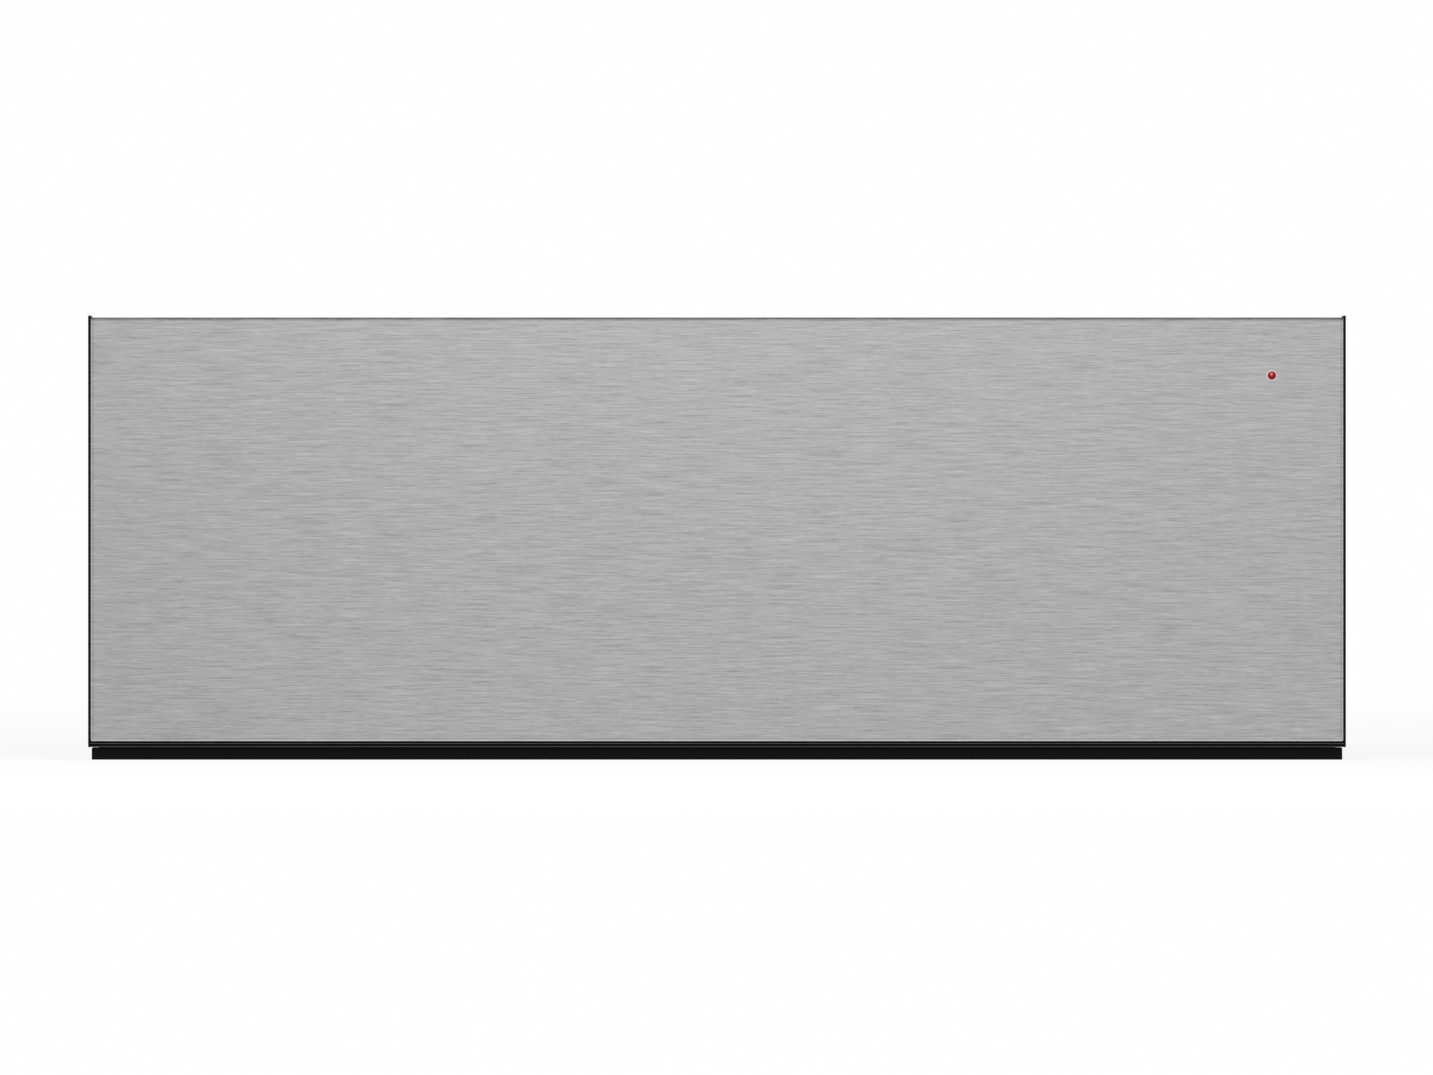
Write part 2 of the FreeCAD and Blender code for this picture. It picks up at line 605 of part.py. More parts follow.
def front_bottom_lip():
    """Black strip under the steel, with two fine ribs along its face."""
    y0 = FACE_Y + LIP_SETBACK
    y_rib = y0 - RIB_PROUD
    body = block(-SKIN_HALF, SKIN_HALF, y0, DOOR_BACK_Y, LIP_BOTTOM, SKIN_BOTTOM)
    z_high = LIP_BOTTOM + RIB_PITCH
    low = block(-SKIN_HALF, SKIN_HALF, y_rib, y0, LIP_BOTTOM, LIP_BOTTOM + RIB_HEIGHT)
    high = block(-SKIN_HALF, SKIN_HALF, y_rib, y0, z_high, z_high + RIB_HEIGHT)
    return joined([body, low, high])


def front_inner_panel():
    """Stainless tray that closes the back of the front."""
    t = INNER_PANEL_SHEET
    half = SKIN_HALF - SKIN_SHEET
    z0 = SKIN_BOTTOM + SKIN_SHEET
    z1 = SKIN_TOP - SKIN_SHEET
    y0 = DOOR_BACK_Y - INNER_PANEL_LIP
    hollow = block(-half + t, half - t, y0, DOOR_BACK_Y - t, z0 + t, z1 - t)
    return block(-half, half, y0, DOOR_BACK_Y, z0, z1).cut(hollow)


def front_insulation():
    """Mineral wool that fills the front between its two sheets."""
    edge = SKIN_SHEET + INNER_PANEL_SHEET
    half = SKIN_HALF - edge
    wool = block(-half, half, SKIN_BACK_Y, DOOR_BACK_Y - INNER_PANEL_SHEET,
                 SKIN_BOTTOM + edge, SKIN_TOP - edge)
    return wool.cut(rod_y(LAMP_X, FACE_Y, DOOR_BACK_Y, LAMP_Z, LAMP_HOLDER_DIAMETER))


def indicator_lens():
    """Red lens: a low dome, a flange behind the steel and a stem in its holder."""
    radius = LAMP_DIAMETER / 2
    dome_radius = (radius ** 2 + LAMP_PROUD ** 2) / (2 * LAMP_PROUD)
    y_tip = FACE_Y - LAMP_PROUD
    ball = Part.makeSphere(dome_radius, point(LAMP_X, y_tip + dome_radius, LAMP_Z))
    dome = ball.common(rod_y(LAMP_X, y_tip, FACE_Y, LAMP_Z, LAMP_DIAMETER))
    stem = rod_y(LAMP_X, FACE_Y, SKIN_BACK_Y + LAMP_STEM, LAMP_Z, LAMP_DIAMETER)
    flange = rod_y(LAMP_X, SKIN_BACK_Y, SKIN_BACK_Y + LAMP_FLANGE, LAMP_Z, LAMP_FLANGE_DIAMETER)
    return joined([stem, dome, flange])


def indicator_holder():
    """Black tube behind the lens, which holds the lamp."""
    body = rod_y(LAMP_X, SKIN_BACK_Y, SKIN_BACK_Y + LAMP_HOLDER_LENGTH, LAMP_Z, LAMP_HOLDER_DIAMETER)
    seat = rod_y(LAMP_X, SKIN_BACK_Y, SKIN_BACK_Y + LAMP_FLANGE, LAMP_Z, LAMP_FLANGE_DIAMETER)
    bore = rod_y(LAMP_X, SKIN_BACK_Y, SKIN_BACK_Y + LAMP_STEM, LAMP_Z, LAMP_DIAMETER)
    return without(body, [seat, bore])


# ---------------------------------------------------------------- the cabinet's shell

def fixing_places():
    x = FRAME_HALF - FIXING_INSET
    z = [MOUTH_MID_Z + side * FIXING_SPACING_Z / 2 for side in (-1, 1)]
    return [(-x, z[0]), (x, z[0]), (-x, z[1]), (x, z[1])]


def cabinet_frame():
    """Black frame round the cabinet's mouth, with the holes that fix it to the furniture."""
    ring = block(-FRAME_HALF, FRAME_HALF, FRAME_Y, SHELL_Y, FOOT_HEIGHT, FRAME_TOP)
    mouth = block(-WALL_IN_X, WALL_IN_X, FRAME_Y, SHELL_Y, MOUTH_BOTTOM, MOUTH_TOP)
    holes = [rod_y(x, FRAME_Y - OVERCUT, SHELL_Y + OVERCUT, z, FIXING_HOLE) for x, z in fixing_places()]
    return without(ring, [mouth] + holes)


def frame_collar():
    """Collar welded to the back of the frame, which grips the shell's top and sides."""
    t = COLLAR_SHEET
    y1 = SHELL_Y + COLLAR_DEPTH
    collar = block(-CHASSIS_HALF - t, CHASSIS_HALF + t, SHELL_Y, y1, FOOT_HEIGHT, CHASSIS_TOP + t)
    return collar.cut(block(-CHASSIS_HALF, CHASSIS_HALF, SHELL_Y, y1, FOOT_HEIGHT, CHASSIS_TOP))


def door_gasket():
    """Silicone strip round the mouth, which cushions the front when it is pressed."""
    y0 = DOOR_BACK_Y + LATCH_PUSH + GASKET_CLEARANCE

    def plate(grow):
        return block(-WALL_IN_X - grow, WALL_IN_X + grow, y0, FRAME_Y, MOUTH_BOTTOM - grow, MOUTH_TOP + grow)
    strip = plate(GASKET_INSET + GASKET_WIDTH).cut(plate(GASKET_INSET))
    return rounded(strip, GASKET_ROUND, lambda b: near(b.YMax, y0))


def cover_screw_places():
    along = spread(SCREWS_PER_SIDE, SHELL_Y + COVER_SCREW_INSET, BACK_IN_Y - COVER_SCREW_INSET)
    return [point(side * FLANGE_MID_X, y, CHASSIS_TOP) for side in (-1, 1) for y in along]


def back_screw_places():
    up = (PAN_FLANGE_TOP + BACK_SCREW_INSET, COVER_BOTTOM - BACK_SCREW_INSET)
    return [point(side * FLANGE_MID_X, BACK_Y, z) for side in (-1, 1) for z in up]


def ear_screw_places():
    half = TERMINAL_EAR / 2
    y = BACK_Y + TERMINAL_WALL
    return [point(x, y, EAR_Z) for x in (TERMINAL_LEFT - half, TERMINAL_RIGHT + half)]


def on_right(places):
    return [place for place in places if place.x > 0]


def foot_places():
    x = CHASSIS_HALF - FOOT_INSET
    return [(side * x, y) for side in (-1, 1)
            for y in (FRAME_Y + FOOT_FRONT_INSET, BACK_Y - FOOT_INSET)]


def base_pan():
    """Floor of the cabinet, with its sides and back folded up."""
    t = SHEET
    floor = block(-WALL_IN_X, WALL_IN_X, SHELL_Y, BACK_IN_Y, FOOT_HEIGHT, PAN_TOP)
    right = block(WALL_IN_X - t, WALL_IN_X, SHELL_Y, BACK_IN_Y, FOOT_HEIGHT, PAN_FLANGE_TOP)
    back = block(-WALL_IN_X, WALL_IN_X, FLANGE_Y, BACK_IN_Y, FOOT_HEIGHT, PAN_FLANGE_TOP)
    hole = FOOT_STEM + 2 * SCREW_CLEARANCE
    holes = [rod_z(x, y, FOOT_HEIGHT - OVERCUT, PAN_TOP + OVERCUT, hole) for x, y in foot_places()]
    return without(joined([floor, back, right, mirrored(right)]), holes)


def side_wall():
    """Right wall of the cabinet, folded in at the top and back, with vent slots."""
    wall = block(WALL_IN_X, CHASSIS_HALF, SHELL_Y, BACK_IN_Y, FOOT_HEIGHT, COVER_BOTTOM)
    top = block(FLANGE_IN_X, CHASSIS_HALF, SHELL_Y, BACK_IN_Y, COVER_BOTTOM - SHEET, COVER_BOTTOM)
    back = block(FLANGE_IN_X, CHASSIS_HALF, FLANGE_Y, BACK_IN_Y, PAN_FLANGE_TOP, COVER_BOTTOM)
    y = BACK_IN_Y - SIDE_VENT_INSET
    cuts = [slot_x(WALL_IN_X - OVERCUT, CHASSIS_HALF + OVERCUT, y, z, VENT_LENGTH, VENT_WIDTH)
            for z in vent_z()]
    cuts += [screw_hole(place, UP) for place in on_right(cover_screw_places())]
    cuts += [screw_hole(place, BACKWARDS) for place in on_right(back_screw_places())]
    return without(joined([wall, top, back]), cuts)


def vent_z():
    highest = CHASSIS_TOP - VENT_DROP
    return [highest - row * VENT_PITCH for row in range(VENT_ROWS)]


def top_cover():
    """Flat sheet screwed to the side walls' flanges from above."""
    sheet = block(-CHASSIS_HALF, CHASSIS_HALF, SHELL_Y, BACK_IN_Y, COVER_BOTTOM, CHASSIS_TOP)
    return without(sheet, [screw_hole(place, UP) for place in cover_screw_places()])


def back_panel():
    """Rear sheet with two groups of vent slots and a hole for the mains leads."""
    sheet = block(-CHASSIS_HALF, CHASSIS_HALF, BACK_IN_Y, BACK_Y, FOOT_HEIGHT, CHASSIS_TOP)
    cuts = [screw_hole(place, BACKWARDS) for place in back_screw_places() + ear_screw_places()]
    y0, y1 = BACK_IN_Y - OVERCUT, BACK_Y + OVERCUT
    for side in (-1, 1):
        for column in (-1, 1):
            x = (side * CHASSIS_HALF + column * VENT_COLUMN_PITCH) / 2
            cuts += [slot_y(x, y0, y1, z, VENT_LENGTH, VENT_WIDTH) for z in vent_z()]
    cuts.append(rod_y(TERMINAL_X + LEAD_HOLE_OFFSET, y0, y1, TERMINAL_TOP - LEAD_HOLE_DROP, LEAD_HOLE))
    return without(sheet, cuts)


def heat_shield():
    """Aluminium tray under the cover, which carries the wool."""
    return tray(-FLANGE_IN_X, FLANGE_IN_X, SHELL_Y, FLANGE_Y, SHIELD_BOTTOM, COVER_BOTTOM, SHIELD_SHEET)


def top_insulation():
    t = SHIELD_SHEET
    return block(-FLANGE_IN_X + t, FLANGE_IN_X - t, SHELL_Y + t, FLANGE_Y - t,
                 SHIELD_BOTTOM + t, COVER_BOTTOM)


def base_strip():
    """Black strip under the front, folded back under the base pan that carries it."""
    half = FRONT_WIDTH / 2 - STRIP_INSET
    y0 = FACE_Y + STRIP_SETBACK
    t = STRIP_SHEET
    z1 = FOOT_HEIGHT
    face = block(-half, half, y0, y0 + t, 0, z1)
    roof = block(-half, half, y0, FRAME_Y, z1 - t, z1)
    tail = block(-WALL_IN_X, WALL_IN_X, y0, FRAME_Y + STRIP_TAIL, z1 - t, z1)
    end = block(half - t, half, y0, FRAME_Y, 0, z1)
    return joined([face, roof, tail, end, mirrored(end)])


def feet():
    """Four moulded feet, each with a stem pushed up through the base pan."""
    pads = []
    for x, y in foot_places():
        pad = rod_z(x, y, 0, FOOT_HEIGHT, FOOT_DIAMETER)
        pad = rounded(pad, FOOT_ROUND, lambda b: near(b.ZMax, 0))
        pads.append(joined([pad, rod_z(x, y, FOOT_HEIGHT, PAN_TOP + FOOT_STEM_HEIGHT, FOOT_STEM)]))
    return group(pads)


def cabinet_screws():
    top = [screw(place, UP) for place in cover_screw_places()]
    rear = [screw(place, BACKWARDS) for place in back_screw_places() + ear_screw_places()]
    return group(top + rear)


# ---------------------------------------------------------------- mains terminals and power module

def terminal_cover():
    """Moulded cap over the mains terminals, with two ears for its screws."""
    t = TERMINAL_WALL
    y1 = BACK_Y + TERMINAL_DEPTH
    cap = block(TERMINAL_LEFT, TERMINAL_RIGHT, BACK_Y, y1, TERMINAL_BOTTOM, TERMINAL_TOP)
    cap = rounded(cap, t, lambda b: near(b.YMin, y1))
    hollow = block(TERMINAL_LEFT + t, TERMINAL_RIGHT - t, BACK_Y, y1 - t, TERMINAL_BOTTOM + t,
                   TERMINAL_TOP - t)
    ear = block(TERMINAL_LEFT - TERMINAL_EAR, TERMINAL_RIGHT + TERMINAL_EAR, BACK_Y, BACK_Y + t,
                EAR_Z - TERMINAL_EAR / 2, EAR_Z + TERMINAL_EAR / 2)
    ear = rounded(ear, TERMINAL_EAR_ROUND, lambda b: near(b.YLength, t))
    cuts = [hollow, rod_x(TERMINAL_LEFT - t, TERMINAL_LEFT + 2 * t, GLAND_Y, GLAND_Z, GLAND_WAIST)]
    cuts += [screw_hole(place, BACKWARDS) for place in ear_screw_places()]
    return without(joined([cap, ear]), cuts)


def cable_gland():
    """Rubber grommet that the mains cord comes through."""
    x0 = TERMINAL_LEFT - GLAND_FLANGE
    x1 = x0 + GLAND_LENGTH
    x_in = TERMINAL_LEFT + TERMINAL_WALL
    outer = rod_x(x0, TERMINAL_LEFT, GLAND_Y, GLAND_Z, GLAND_DIAMETER)
    inner = rod_x(x_in, x_in + GLAND_FLANGE, GLAND_Y, GLAND_Z, GLAND_DIAMETER)
    waist = rod_x(x0, x1, GLAND_Y, GLAND_Z, GLAND_WAIST)
    bore = rod_x(x0 - OVERCUT, x1 + OVERCUT, GLAND_Y, GLAND_Z, GLAND_BORE)
    return joined([waist, outer, inner]).cut(bore)


def terminal_block():
    """Three-way screw terminal block on the back panel."""
    x0 = TERMINAL_X - BLOCK_LENGTH / 2
    z0 = TERMINAL_BOTTOM + BLOCK_LIFT
    z1 = z0 + BLOCK_HEIGHT
    y1 = BACK_Y + BLOCK_DEPTH
    body = block(x0, x0 + BLOCK_LENGTH, BACK_Y, y1, z0, z1)
    half_pitch = BLOCK_LENGTH / BLOCK_WAYS / 2
    cuts = [rod_y(x, y1 - BLOCK_SCREW_DEPTH, y1 + OVERCUT, z, BLOCK_SCREW)
            for x in spread(BLOCK_WAYS, x0 + half_pitch, x0 + BLOCK_LENGTH - half_pitch)
            for z in (z0 + BLOCK_SCREW_INSET, z1 - BLOCK_SCREW_INSET)]
    return without(body, cuts)


def power_module_case():
    """Moulded case over the power electronics, with cooling slots in its top."""
    t = MODULE_WALL
    whole = block(MODULE_LEFT, MODULE_RIGHT, MODULE_FRONT_Y, MODULE_BACK_Y, PAN_TOP, MODULE_TOP)
    hollow = block(MODULE_LEFT + t, MODULE_RIGHT - t, MODULE_FRONT_Y + t, MODULE_BACK_Y - t,
                   PAN_TOP, MODULE_TOP - t)
    inset = MODULE_SLOT_INSET
    margin = MODULE_SLOT_MARGIN
    slots = [block(x - t / 2, x + t / 2, MODULE_FRONT_Y + inset, MODULE_BACK_Y - inset,
                   MODULE_TOP - t - OVERCUT, MODULE_TOP + OVERCUT)
             for x in spread(MODULE_SLOTS, MODULE_LEFT + margin, MODULE_RIGHT - margin)]
    return without(whole, [hollow] + slots)


def power_board():
    """Circuit board on four legs, with its relays and transformer."""
    gap = 2 * MODULE_WALL
    x0, x1 = MODULE_LEFT + gap, MODULE_RIGHT - gap
    y0, y1 = MODULE_FRONT_Y + gap, MODULE_BACK_Y - gap
    z0 = PAN_TOP + MODULE_FOOT
    z1 = z0 + BOARD
    parts = [block(x0, x1, y0, y1, z0, z1)]
    inset = MODULE_PART_INSET
    spare = x1 - x0 - sum(length for length, room in MODULE_PARTS)
    x = x0
    for length, room in MODULE_PARTS:
        x += spare / (len(MODULE_PARTS) + 1)
        parts.append(block(x, x + length, y0 + inset, y1 - inset, z1, MODULE_TOP - MODULE_WALL - room))
        x += length
    inset = POST_DIAMETER / 2
    parts += [rod_z(x, y, PAN_TOP, z0, POST_DIAMETER) for x in (x0 + inset, x1 - inset)
              for y in (y0 + inset, y1 - inset)]
    return joined(parts)


# ---------------------------------------------------------------- telescopic rails

def rail_box(deep, shallow, y0, y1, half_height):
    """A box in the right rail, between two depths measured inwards from the cabinet's wall."""
    return block(WALL_IN_X - deep, WALL_IN_X - shallow, y0, y1, RAIL_Z - half_height, RAIL_Z + half_height)


def rail_outer():
    """Member on the cabinet's wall, with lips that keep the balls in."""
    t = RAIL_SHEET
    y0, y1 = RAIL_FRONT_Y, RAIL_BACK_Y
    whole = rail_box(OUTER_OPEN, 0, y0, y1, OUTER_HALF)
    hollow = rail_box(OUTER_OPEN - t, t, y0, y1, OUTER_HALF - t)
    mouth = rail_box(OUTER_OPEN, OUTER_OPEN - t, y0, y1, OUTER_HALF - t - RAIL_LIP)
    return without(whole, [hollow, mouth])


def rail_middle():
    """Member between the other two."""
    t = MIDDLE_SHEET
    y0, y1 = RAIL_FRONT_Y, RAIL_BACK_Y
    return rail_box(MIDDLE_OPEN, MIDDLE_WEB, y0, y1, MIDDLE_HALF).cut(
        rail_box(MIDDLE_OPEN, MIDDLE_WEB + t, y0, y1, MIDDLE_HALF - t))


def rail_screw_y():
    return spread(RAIL_SCREWS, RAIL_FRONT_Y + RAIL_SCREW_FRONT, RAIL_BACK_Y - RAIL_SCREW_BACK)


def rail_inner():
    """Member on the drawer's side."""
    t = MIDDLE_SHEET
    y0, y1 = RAIL_FRONT_Y, RAIL_BACK_Y
    whole = rail_box(RAIL_WIDTH, INNER_OPEN, y0, y1, INNER_HALF)
    hollow = rail_box(RAIL_WIDTH - t, INNER_OPEN, y0, y1, INNER_HALF - t)
    hole = SCREW_SHANK + 2 * SCREW_CLEARANCE
    holes = [rod_x(DRAWER_SIDE_X - t, DRAWER_SIDE_X + 2 * t, y, RAIL_Z, hole) for y in rail_screw_y()]
    return without(whole, [hollow] + holes)


def bearing(web, opening, row, ball):
    """Folded cage of one rail with its two rows of balls."""
    strip = row + CAGE_STRIP / 2
    whole = rail_box(opening, web, CAGE_FRONT_Y, CAGE_BACK_Y, strip)
    hollow = rail_box(opening, web + CAGE_SHEET, CAGE_FRONT_Y, CAGE_BACK_Y, strip - CAGE_STRIP)
    x = WALL_IN_X - (web + opening) / 2
    along = spread(BALLS_PER_ROW, CAGE_FRONT_Y + CAGE_END, CAGE_BACK_Y - CAGE_END)
    pockets = [rod_z(x, y, RAIL_Z - row - ball, RAIL_Z + row + ball, ball + 2 * CAGE_CLEARANCE)
               for y in along]
    balls = [Part.makeSphere(ball / 2, point(x, y, RAIL_Z + side * row))
             for y in along for side in (-1, 1)]
    return group([without(whole, [hollow] + pockets)] + balls)


def rail_screws():
    """Low screws and nuts that fix the inner members to the drawer's sides."""
    x0 = DRAWER_SIDE_X - DRAWER_SHEET - RAIL_NUT_HEIGHT
    x_head = DRAWER_SIDE_X + MIDDLE_SHEET
    fixings = []
    for y in rail_screw_y():
        head = rod_x(x_head, x_head + RAIL_SCREW_HEAD_HEIGHT, y, RAIL_Z, SCREW_HEAD)
        shank = rod_x(x0, x_head, y, RAIL_Z, SCREW_SHANK)
        nut = rod_x(x0, x0 + RAIL_NUT_HEIGHT, y, RAIL_Z, RAIL_NUT)
        fixings.append(joined([head, shank, nut]))
    return both_sides(group(fixings))


# ---------------------------------------------------------------- the drawer's box

def drawer_side():
    """Hollow right wall of the drawer: one sheet folded over, open below."""
    t = DRAWER_SHEET
    radius = DRAWER_EDGE_RADIUS
    whole = block(DRAWER_IN_X, DRAWER_SIDE_X, DOOR_BACK_Y, REAR_BACK_Y, DRAWER_BOTTOM, DRAWER_TOP)
    whole = rounded(whole, radius, lambda b: near(b.ZMin, DRAWER_TOP) and near(b.XMin, b.XMax))
    z_roof = DRAWER_TOP - t
    hollow = block(DRAWER_IN_X + t, DRAWER_SIDE_X - t, DOOR_BACK_Y, REAR_BACK_Y, DRAWER_BOTTOM, z_roof)
    hollow = rounded(hollow, radius - t, lambda b: near(b.ZMin, z_roof) and near(b.XMin, b.XMax))
    hole = SCREW_SHANK + 2 * SCREW_CLEARANCE
    holes = [rod_x(DRAWER_SIDE_X - 2 * t, DRAWER_SIDE_X + t, y, RAIL_Z, hole) for y in rail_screw_y()]
    return without(whole, [hollow] + holes)


def drawer_floor_pan():
    """Tray that is the bottom of the drawer, its rim folded in as a ledge for the glass."""
    t = DRAWER_SHEET
    x, y0, y1 = DRAWER_IN_X, PAN_FRONT_Y, REAR_WALL_Y
    whole = block(-x, x, y0, y1, DRAWER_BOTTOM, LEDGE_TOP)
    hollow = block(-x + t, x - t, y0 + t, y1 - t, FLOOR_TOP, LEDGE_TOP - t)
    mouth = block(-x + LEDGE, x - LEDGE, y0 + LEDGE, y1 - LEDGE, LEDGE_TOP - t, LEDGE_TOP)
    return without(whole, [hollow, mouth])


def floor_insulation():
    edge = REFLECTOR_INSET + DRAWER_SHEET
    return block(-DRAWER_IN_X + edge, DRAWER_IN_X - edge, PAN_FRONT_Y + edge, REAR_WALL_Y - edge,
                 FLOOR_TOP, FLOOR_TOP + FLOOR_WOOL)


def heat_reflector():
    """Bright aluminium tray, upside down over the floor's wool."""
    t = DRAWER_SHEET
    x = DRAWER_IN_X - REFLECTOR_INSET
    y0, y1 = PAN_FRONT_Y + REFLECTOR_INSET, REAR_WALL_Y - REFLECTOR_INSET
    whole = block(-x, x, y0, y1, FLOOR_TOP, REFLECTOR_TOP)
    return whole.cut(block(-x + t, x - t, y0 + t, y1 - t, FLOOR_TOP, REFLECTOR_TOP - t))


def heater_rows():
    """Where the straight runs of the floor heater lie."""
    return spread(HEATER_RUNS, PAN_FRONT_Y + HEATER_END_MARGIN, REAR_WALL_Y - HEATER_END_MARGIN)


def floor_heater():
    """Tubular element that lies folded back and forth on the reflector."""
    rows = heater_rows()
    bend = (rows[1] - rows[0]) / 2
    half = DRAWER_IN_X - HEATER_MARGIN - bend
    edges = []
    for i, y in enumerate(rows):
        way = 1 if i % 2 == 0 else -1
        start, end = point(-way * half, y, HEATER_Z), point(way * half, y, HEATER_Z)
        edges.append(Part.LineSegment(start, end).toShape())
        if i < len(rows) - 1:
            out = point(way * (half + bend), y + bend, HEATER_Z)
            edges.append(Part.Arc(end, out, point(way * half, rows[i + 1], HEATER_Z)).toShape())
    ring = Part.Circle(point(-half, rows[0], HEATER_Z), point(1, 0, 0), HEATER_TUBE / 2)
    return Part.Wire(edges).makePipeShell([Part.Wire(ring.toShape())], True, False)


def floor_thermostat():
    """Round sensor pressed against the underside of the glass."""
    rows = heater_rows()
    y = (rows[2] + rows[3]) / 2
    body = rod_z(0, y, REFLECTOR_TOP, LEDGE_TOP, SENSOR_DIAMETER)
    flange = rod_z(0, y, REFLECTOR_TOP, REFLECTOR_TOP + SENSOR_FLANGE_HEIGHT, SENSOR_FLANGE)
    return joined([body, flange])


def glass_plate():
    """Black ceramic glass that the dishes stand on."""
    x = DRAWER_IN_X - GLASS_CLEARANCE
    plate = block(-x, x, PAN_FRONT_Y + GLASS_CLEARANCE, REAR_WALL_Y - GLASS_CLEARANCE,
                  LEDGE_TOP, GLASS_TOP)
    return rounded(plate, GLASS_EDGE_RADIUS, lambda b: near(b.ZMin, GLASS_TOP))


def drawer_front_wall():
    """Stainless wall in front of the dishes, folded back under the control strip."""
    t = DRAWER_SHEET
    wall = block(-DRAWER_IN_X, DRAWER_IN_X, FRONT_WALL_Y, PAN_FRONT_Y, DRAWER_BOTTOM, FASCIA_BOTTOM)
    shelf = block(-DRAWER_IN_X, DRAWER_IN_X, FRONT_WALL_Y, FASCIA_BACK_Y, FASCIA_BOTTOM - t, FASCIA_BOTTOM)
    return joined([wall, shelf])


def drawer_rear_wall():
    """Stainless rear wall with the fan's air holes and a flange along its top."""
    y0, y1 = REAR_WALL_Y, REAR_BACK_Y
    wall = block(-DRAWER_IN_X, DRAWER_IN_X, y0, y1, DRAWER_BOTTOM, DRAWER_TOP)
    top = block(-DRAWER_IN_X, DRAWER_IN_X, y0, y1 + REAR_WALL_FOLD, DRAWER_TOP - DRAWER_SHEET, DRAWER_TOP)
    cuts = []
    for ring in range(INTAKE_RINGS):
        radius = INTAKE_FIRST + ring * INTAKE_PITCH
        count = INTAKE_COUNT * (ring + 1)
        for i in range(count):
            a = 2 * math.pi * i / count
            x, z = radius * math.cos(a), FAN_Z + radius * math.sin(a)
            cuts.append(rod_y(x, y0 - OVERCUT, y1 + OVERCUT, z, INTAKE_HOLE))
    lowest = FAN_Z - OUTLET_PITCH * (OUTLET_ROWS - 1) / 2
    for side in (-1, 1):
        for row in range(OUTLET_ROWS):
            z = lowest + row * OUTLET_PITCH
            cuts.append(slot_y(side * OUTLET_X, y0 - OVERCUT, y1 + OVERCUT, z, OUTLET_LENGTH, OUTLET_WIDTH))
    return without(joined([wall, top]), cuts)


def latch_striker():
    """Right steel plate on the rear wall, which the latch's magnet holds."""
    half = STRIKER_SIZE / 2
    plate = block(LATCH_X - half, LATCH_X + half, REAR_BACK_Y, STRIKER_BACK_Y, LATCH_Z - half, LATCH_Z + half)
    return rounded(plate, STRIKER_SHEET, lambda b: near(b.YLength, STRIKER_SHEET))


# ---------------------------------------------------------------- fan heater

def fan_housing():
    """Sheet-metal box behind the rear wall, with a flange on each side."""
    t = FAN_HOUSING_SHEET
    half = FAN_HOUSING_WIDTH / 2
    z0, z1 = FAN_Z - HOUSING_HALF_HEIGHT, FAN_Z + HOUSING_HALF_HEIGHT
    whole = block(-half, half, REAR_BACK_Y, HOUSING_BACK_Y, z0, z1)
    flange = block(-half - FOLD, half + FOLD, REAR_BACK_Y, REAR_BACK_Y + t, z0, z1)
    hollow = block(-half + t, half - t, REAR_BACK_Y, HOUSING_BACK_Y - t, z0 + t, z1 - t)
    hole = rod_y(0, HOUSING_BACK_Y - t - OVERCUT, HOUSING_BACK_Y + OVERCUT, FAN_Z, HOUSING_BORE)
    return without(joined([whole, flange]), [hollow, hole])


def fan_motor():
    """Flat motor on the back of the fan's housing."""
    can = rod_y(0, HOUSING_BACK_Y, MOTOR_BACK_Y, FAN_Z, MOTOR_DIAMETER)
    can = rounded(can, MOTOR_ROUND, lambda b: near(b.YMin, MOTOR_BACK_Y))
    reach = MOTOR_DIAMETER / 2 + MOTOR_EAR
    ears = block(-reach, reach, HOUSING_BACK_Y, HOUSING_BACK_Y + MOTOR_EAR_SHEET,
                 FAN_Z - MOTOR_EAR, FAN_Z + MOTOR_EAR)
    bore = rod_y(0, HOUSING_BACK_Y - OVERCUT, SHAFT_END_Y + FAN_SHAFT_END_GAP, FAN_Z,
                 FAN_SHAFT + 2 * FAN_SHAFT_CLEARANCE)
    return joined([can, ears]).cut(bore)


def fan_impeller():
    """Radial wheel on its shaft: a disc, a hub and a ring of leaning blades."""
    y0, y1 = WHEEL_FRONT_Y, WHEEL_BACK_Y
    disc = rod_y(0, y1, y1 + FAN_DISC, FAN_Z, FAN_DIAMETER)
    hub = rod_y(0, y0, y1, FAN_Z, FAN_HUB)
    shaft = rod_y(0, y1, SHAFT_END_Y, FAN_Z, FAN_SHAFT)
    root = FAN_DIAMETER / 2 - FAN_BLADE_LENGTH
    half = FAN_BLADE_THICKNESS / 2
    blades = []
    for i in range(FAN_BLADES):
        blade = block(root, root + FAN_BLADE_LENGTH, y0, y1, -half, half)
        blade.rotate(point(root, 0, 0), BACKWARDS, FAN_BLADE_LEAN)
        blade.rotate(point(0, 0, 0), BACKWARDS, 360.0 * i / FAN_BLADES)
        blade.translate(point(0, 0, FAN_Z))
        blades.append(blade)
    return joined([disc, hub, shaft] + blades)


def fan_heater_ring():
    """Ring element round the fan wheel, on three stays."""
    y = (WHEEL_FRONT_Y + WHEEL_BACK_Y) / 2
    ring = Part.makeTorus(RING_RADIUS, RING_TUBE / 2, point(0, y, FAN_Z), BACKWARDS)
    stays = []
    for i in range(RING_STAYS):
        a = math.radians(RING_FIRST_STAY) + 2 * math.pi * i / RING_STAYS
        x, z = RING_RADIUS * math.cos(a), FAN_Z + RING_RADIUS * math.sin(a)
        stays.append(rod_y(x, y, HOUSING_BACK_Y - FAN_HOUSING_SHEET, z, RING_STAY))
    return joined([ring] + stays)


# ---------------------------------------------------------------- controls

def level_lamp_x():
    return [CONTROL_X + LEVEL_LAMP_OFFSET + i * LEVEL_LAMP_PITCH for i in range(LEVEL_LAMPS)]


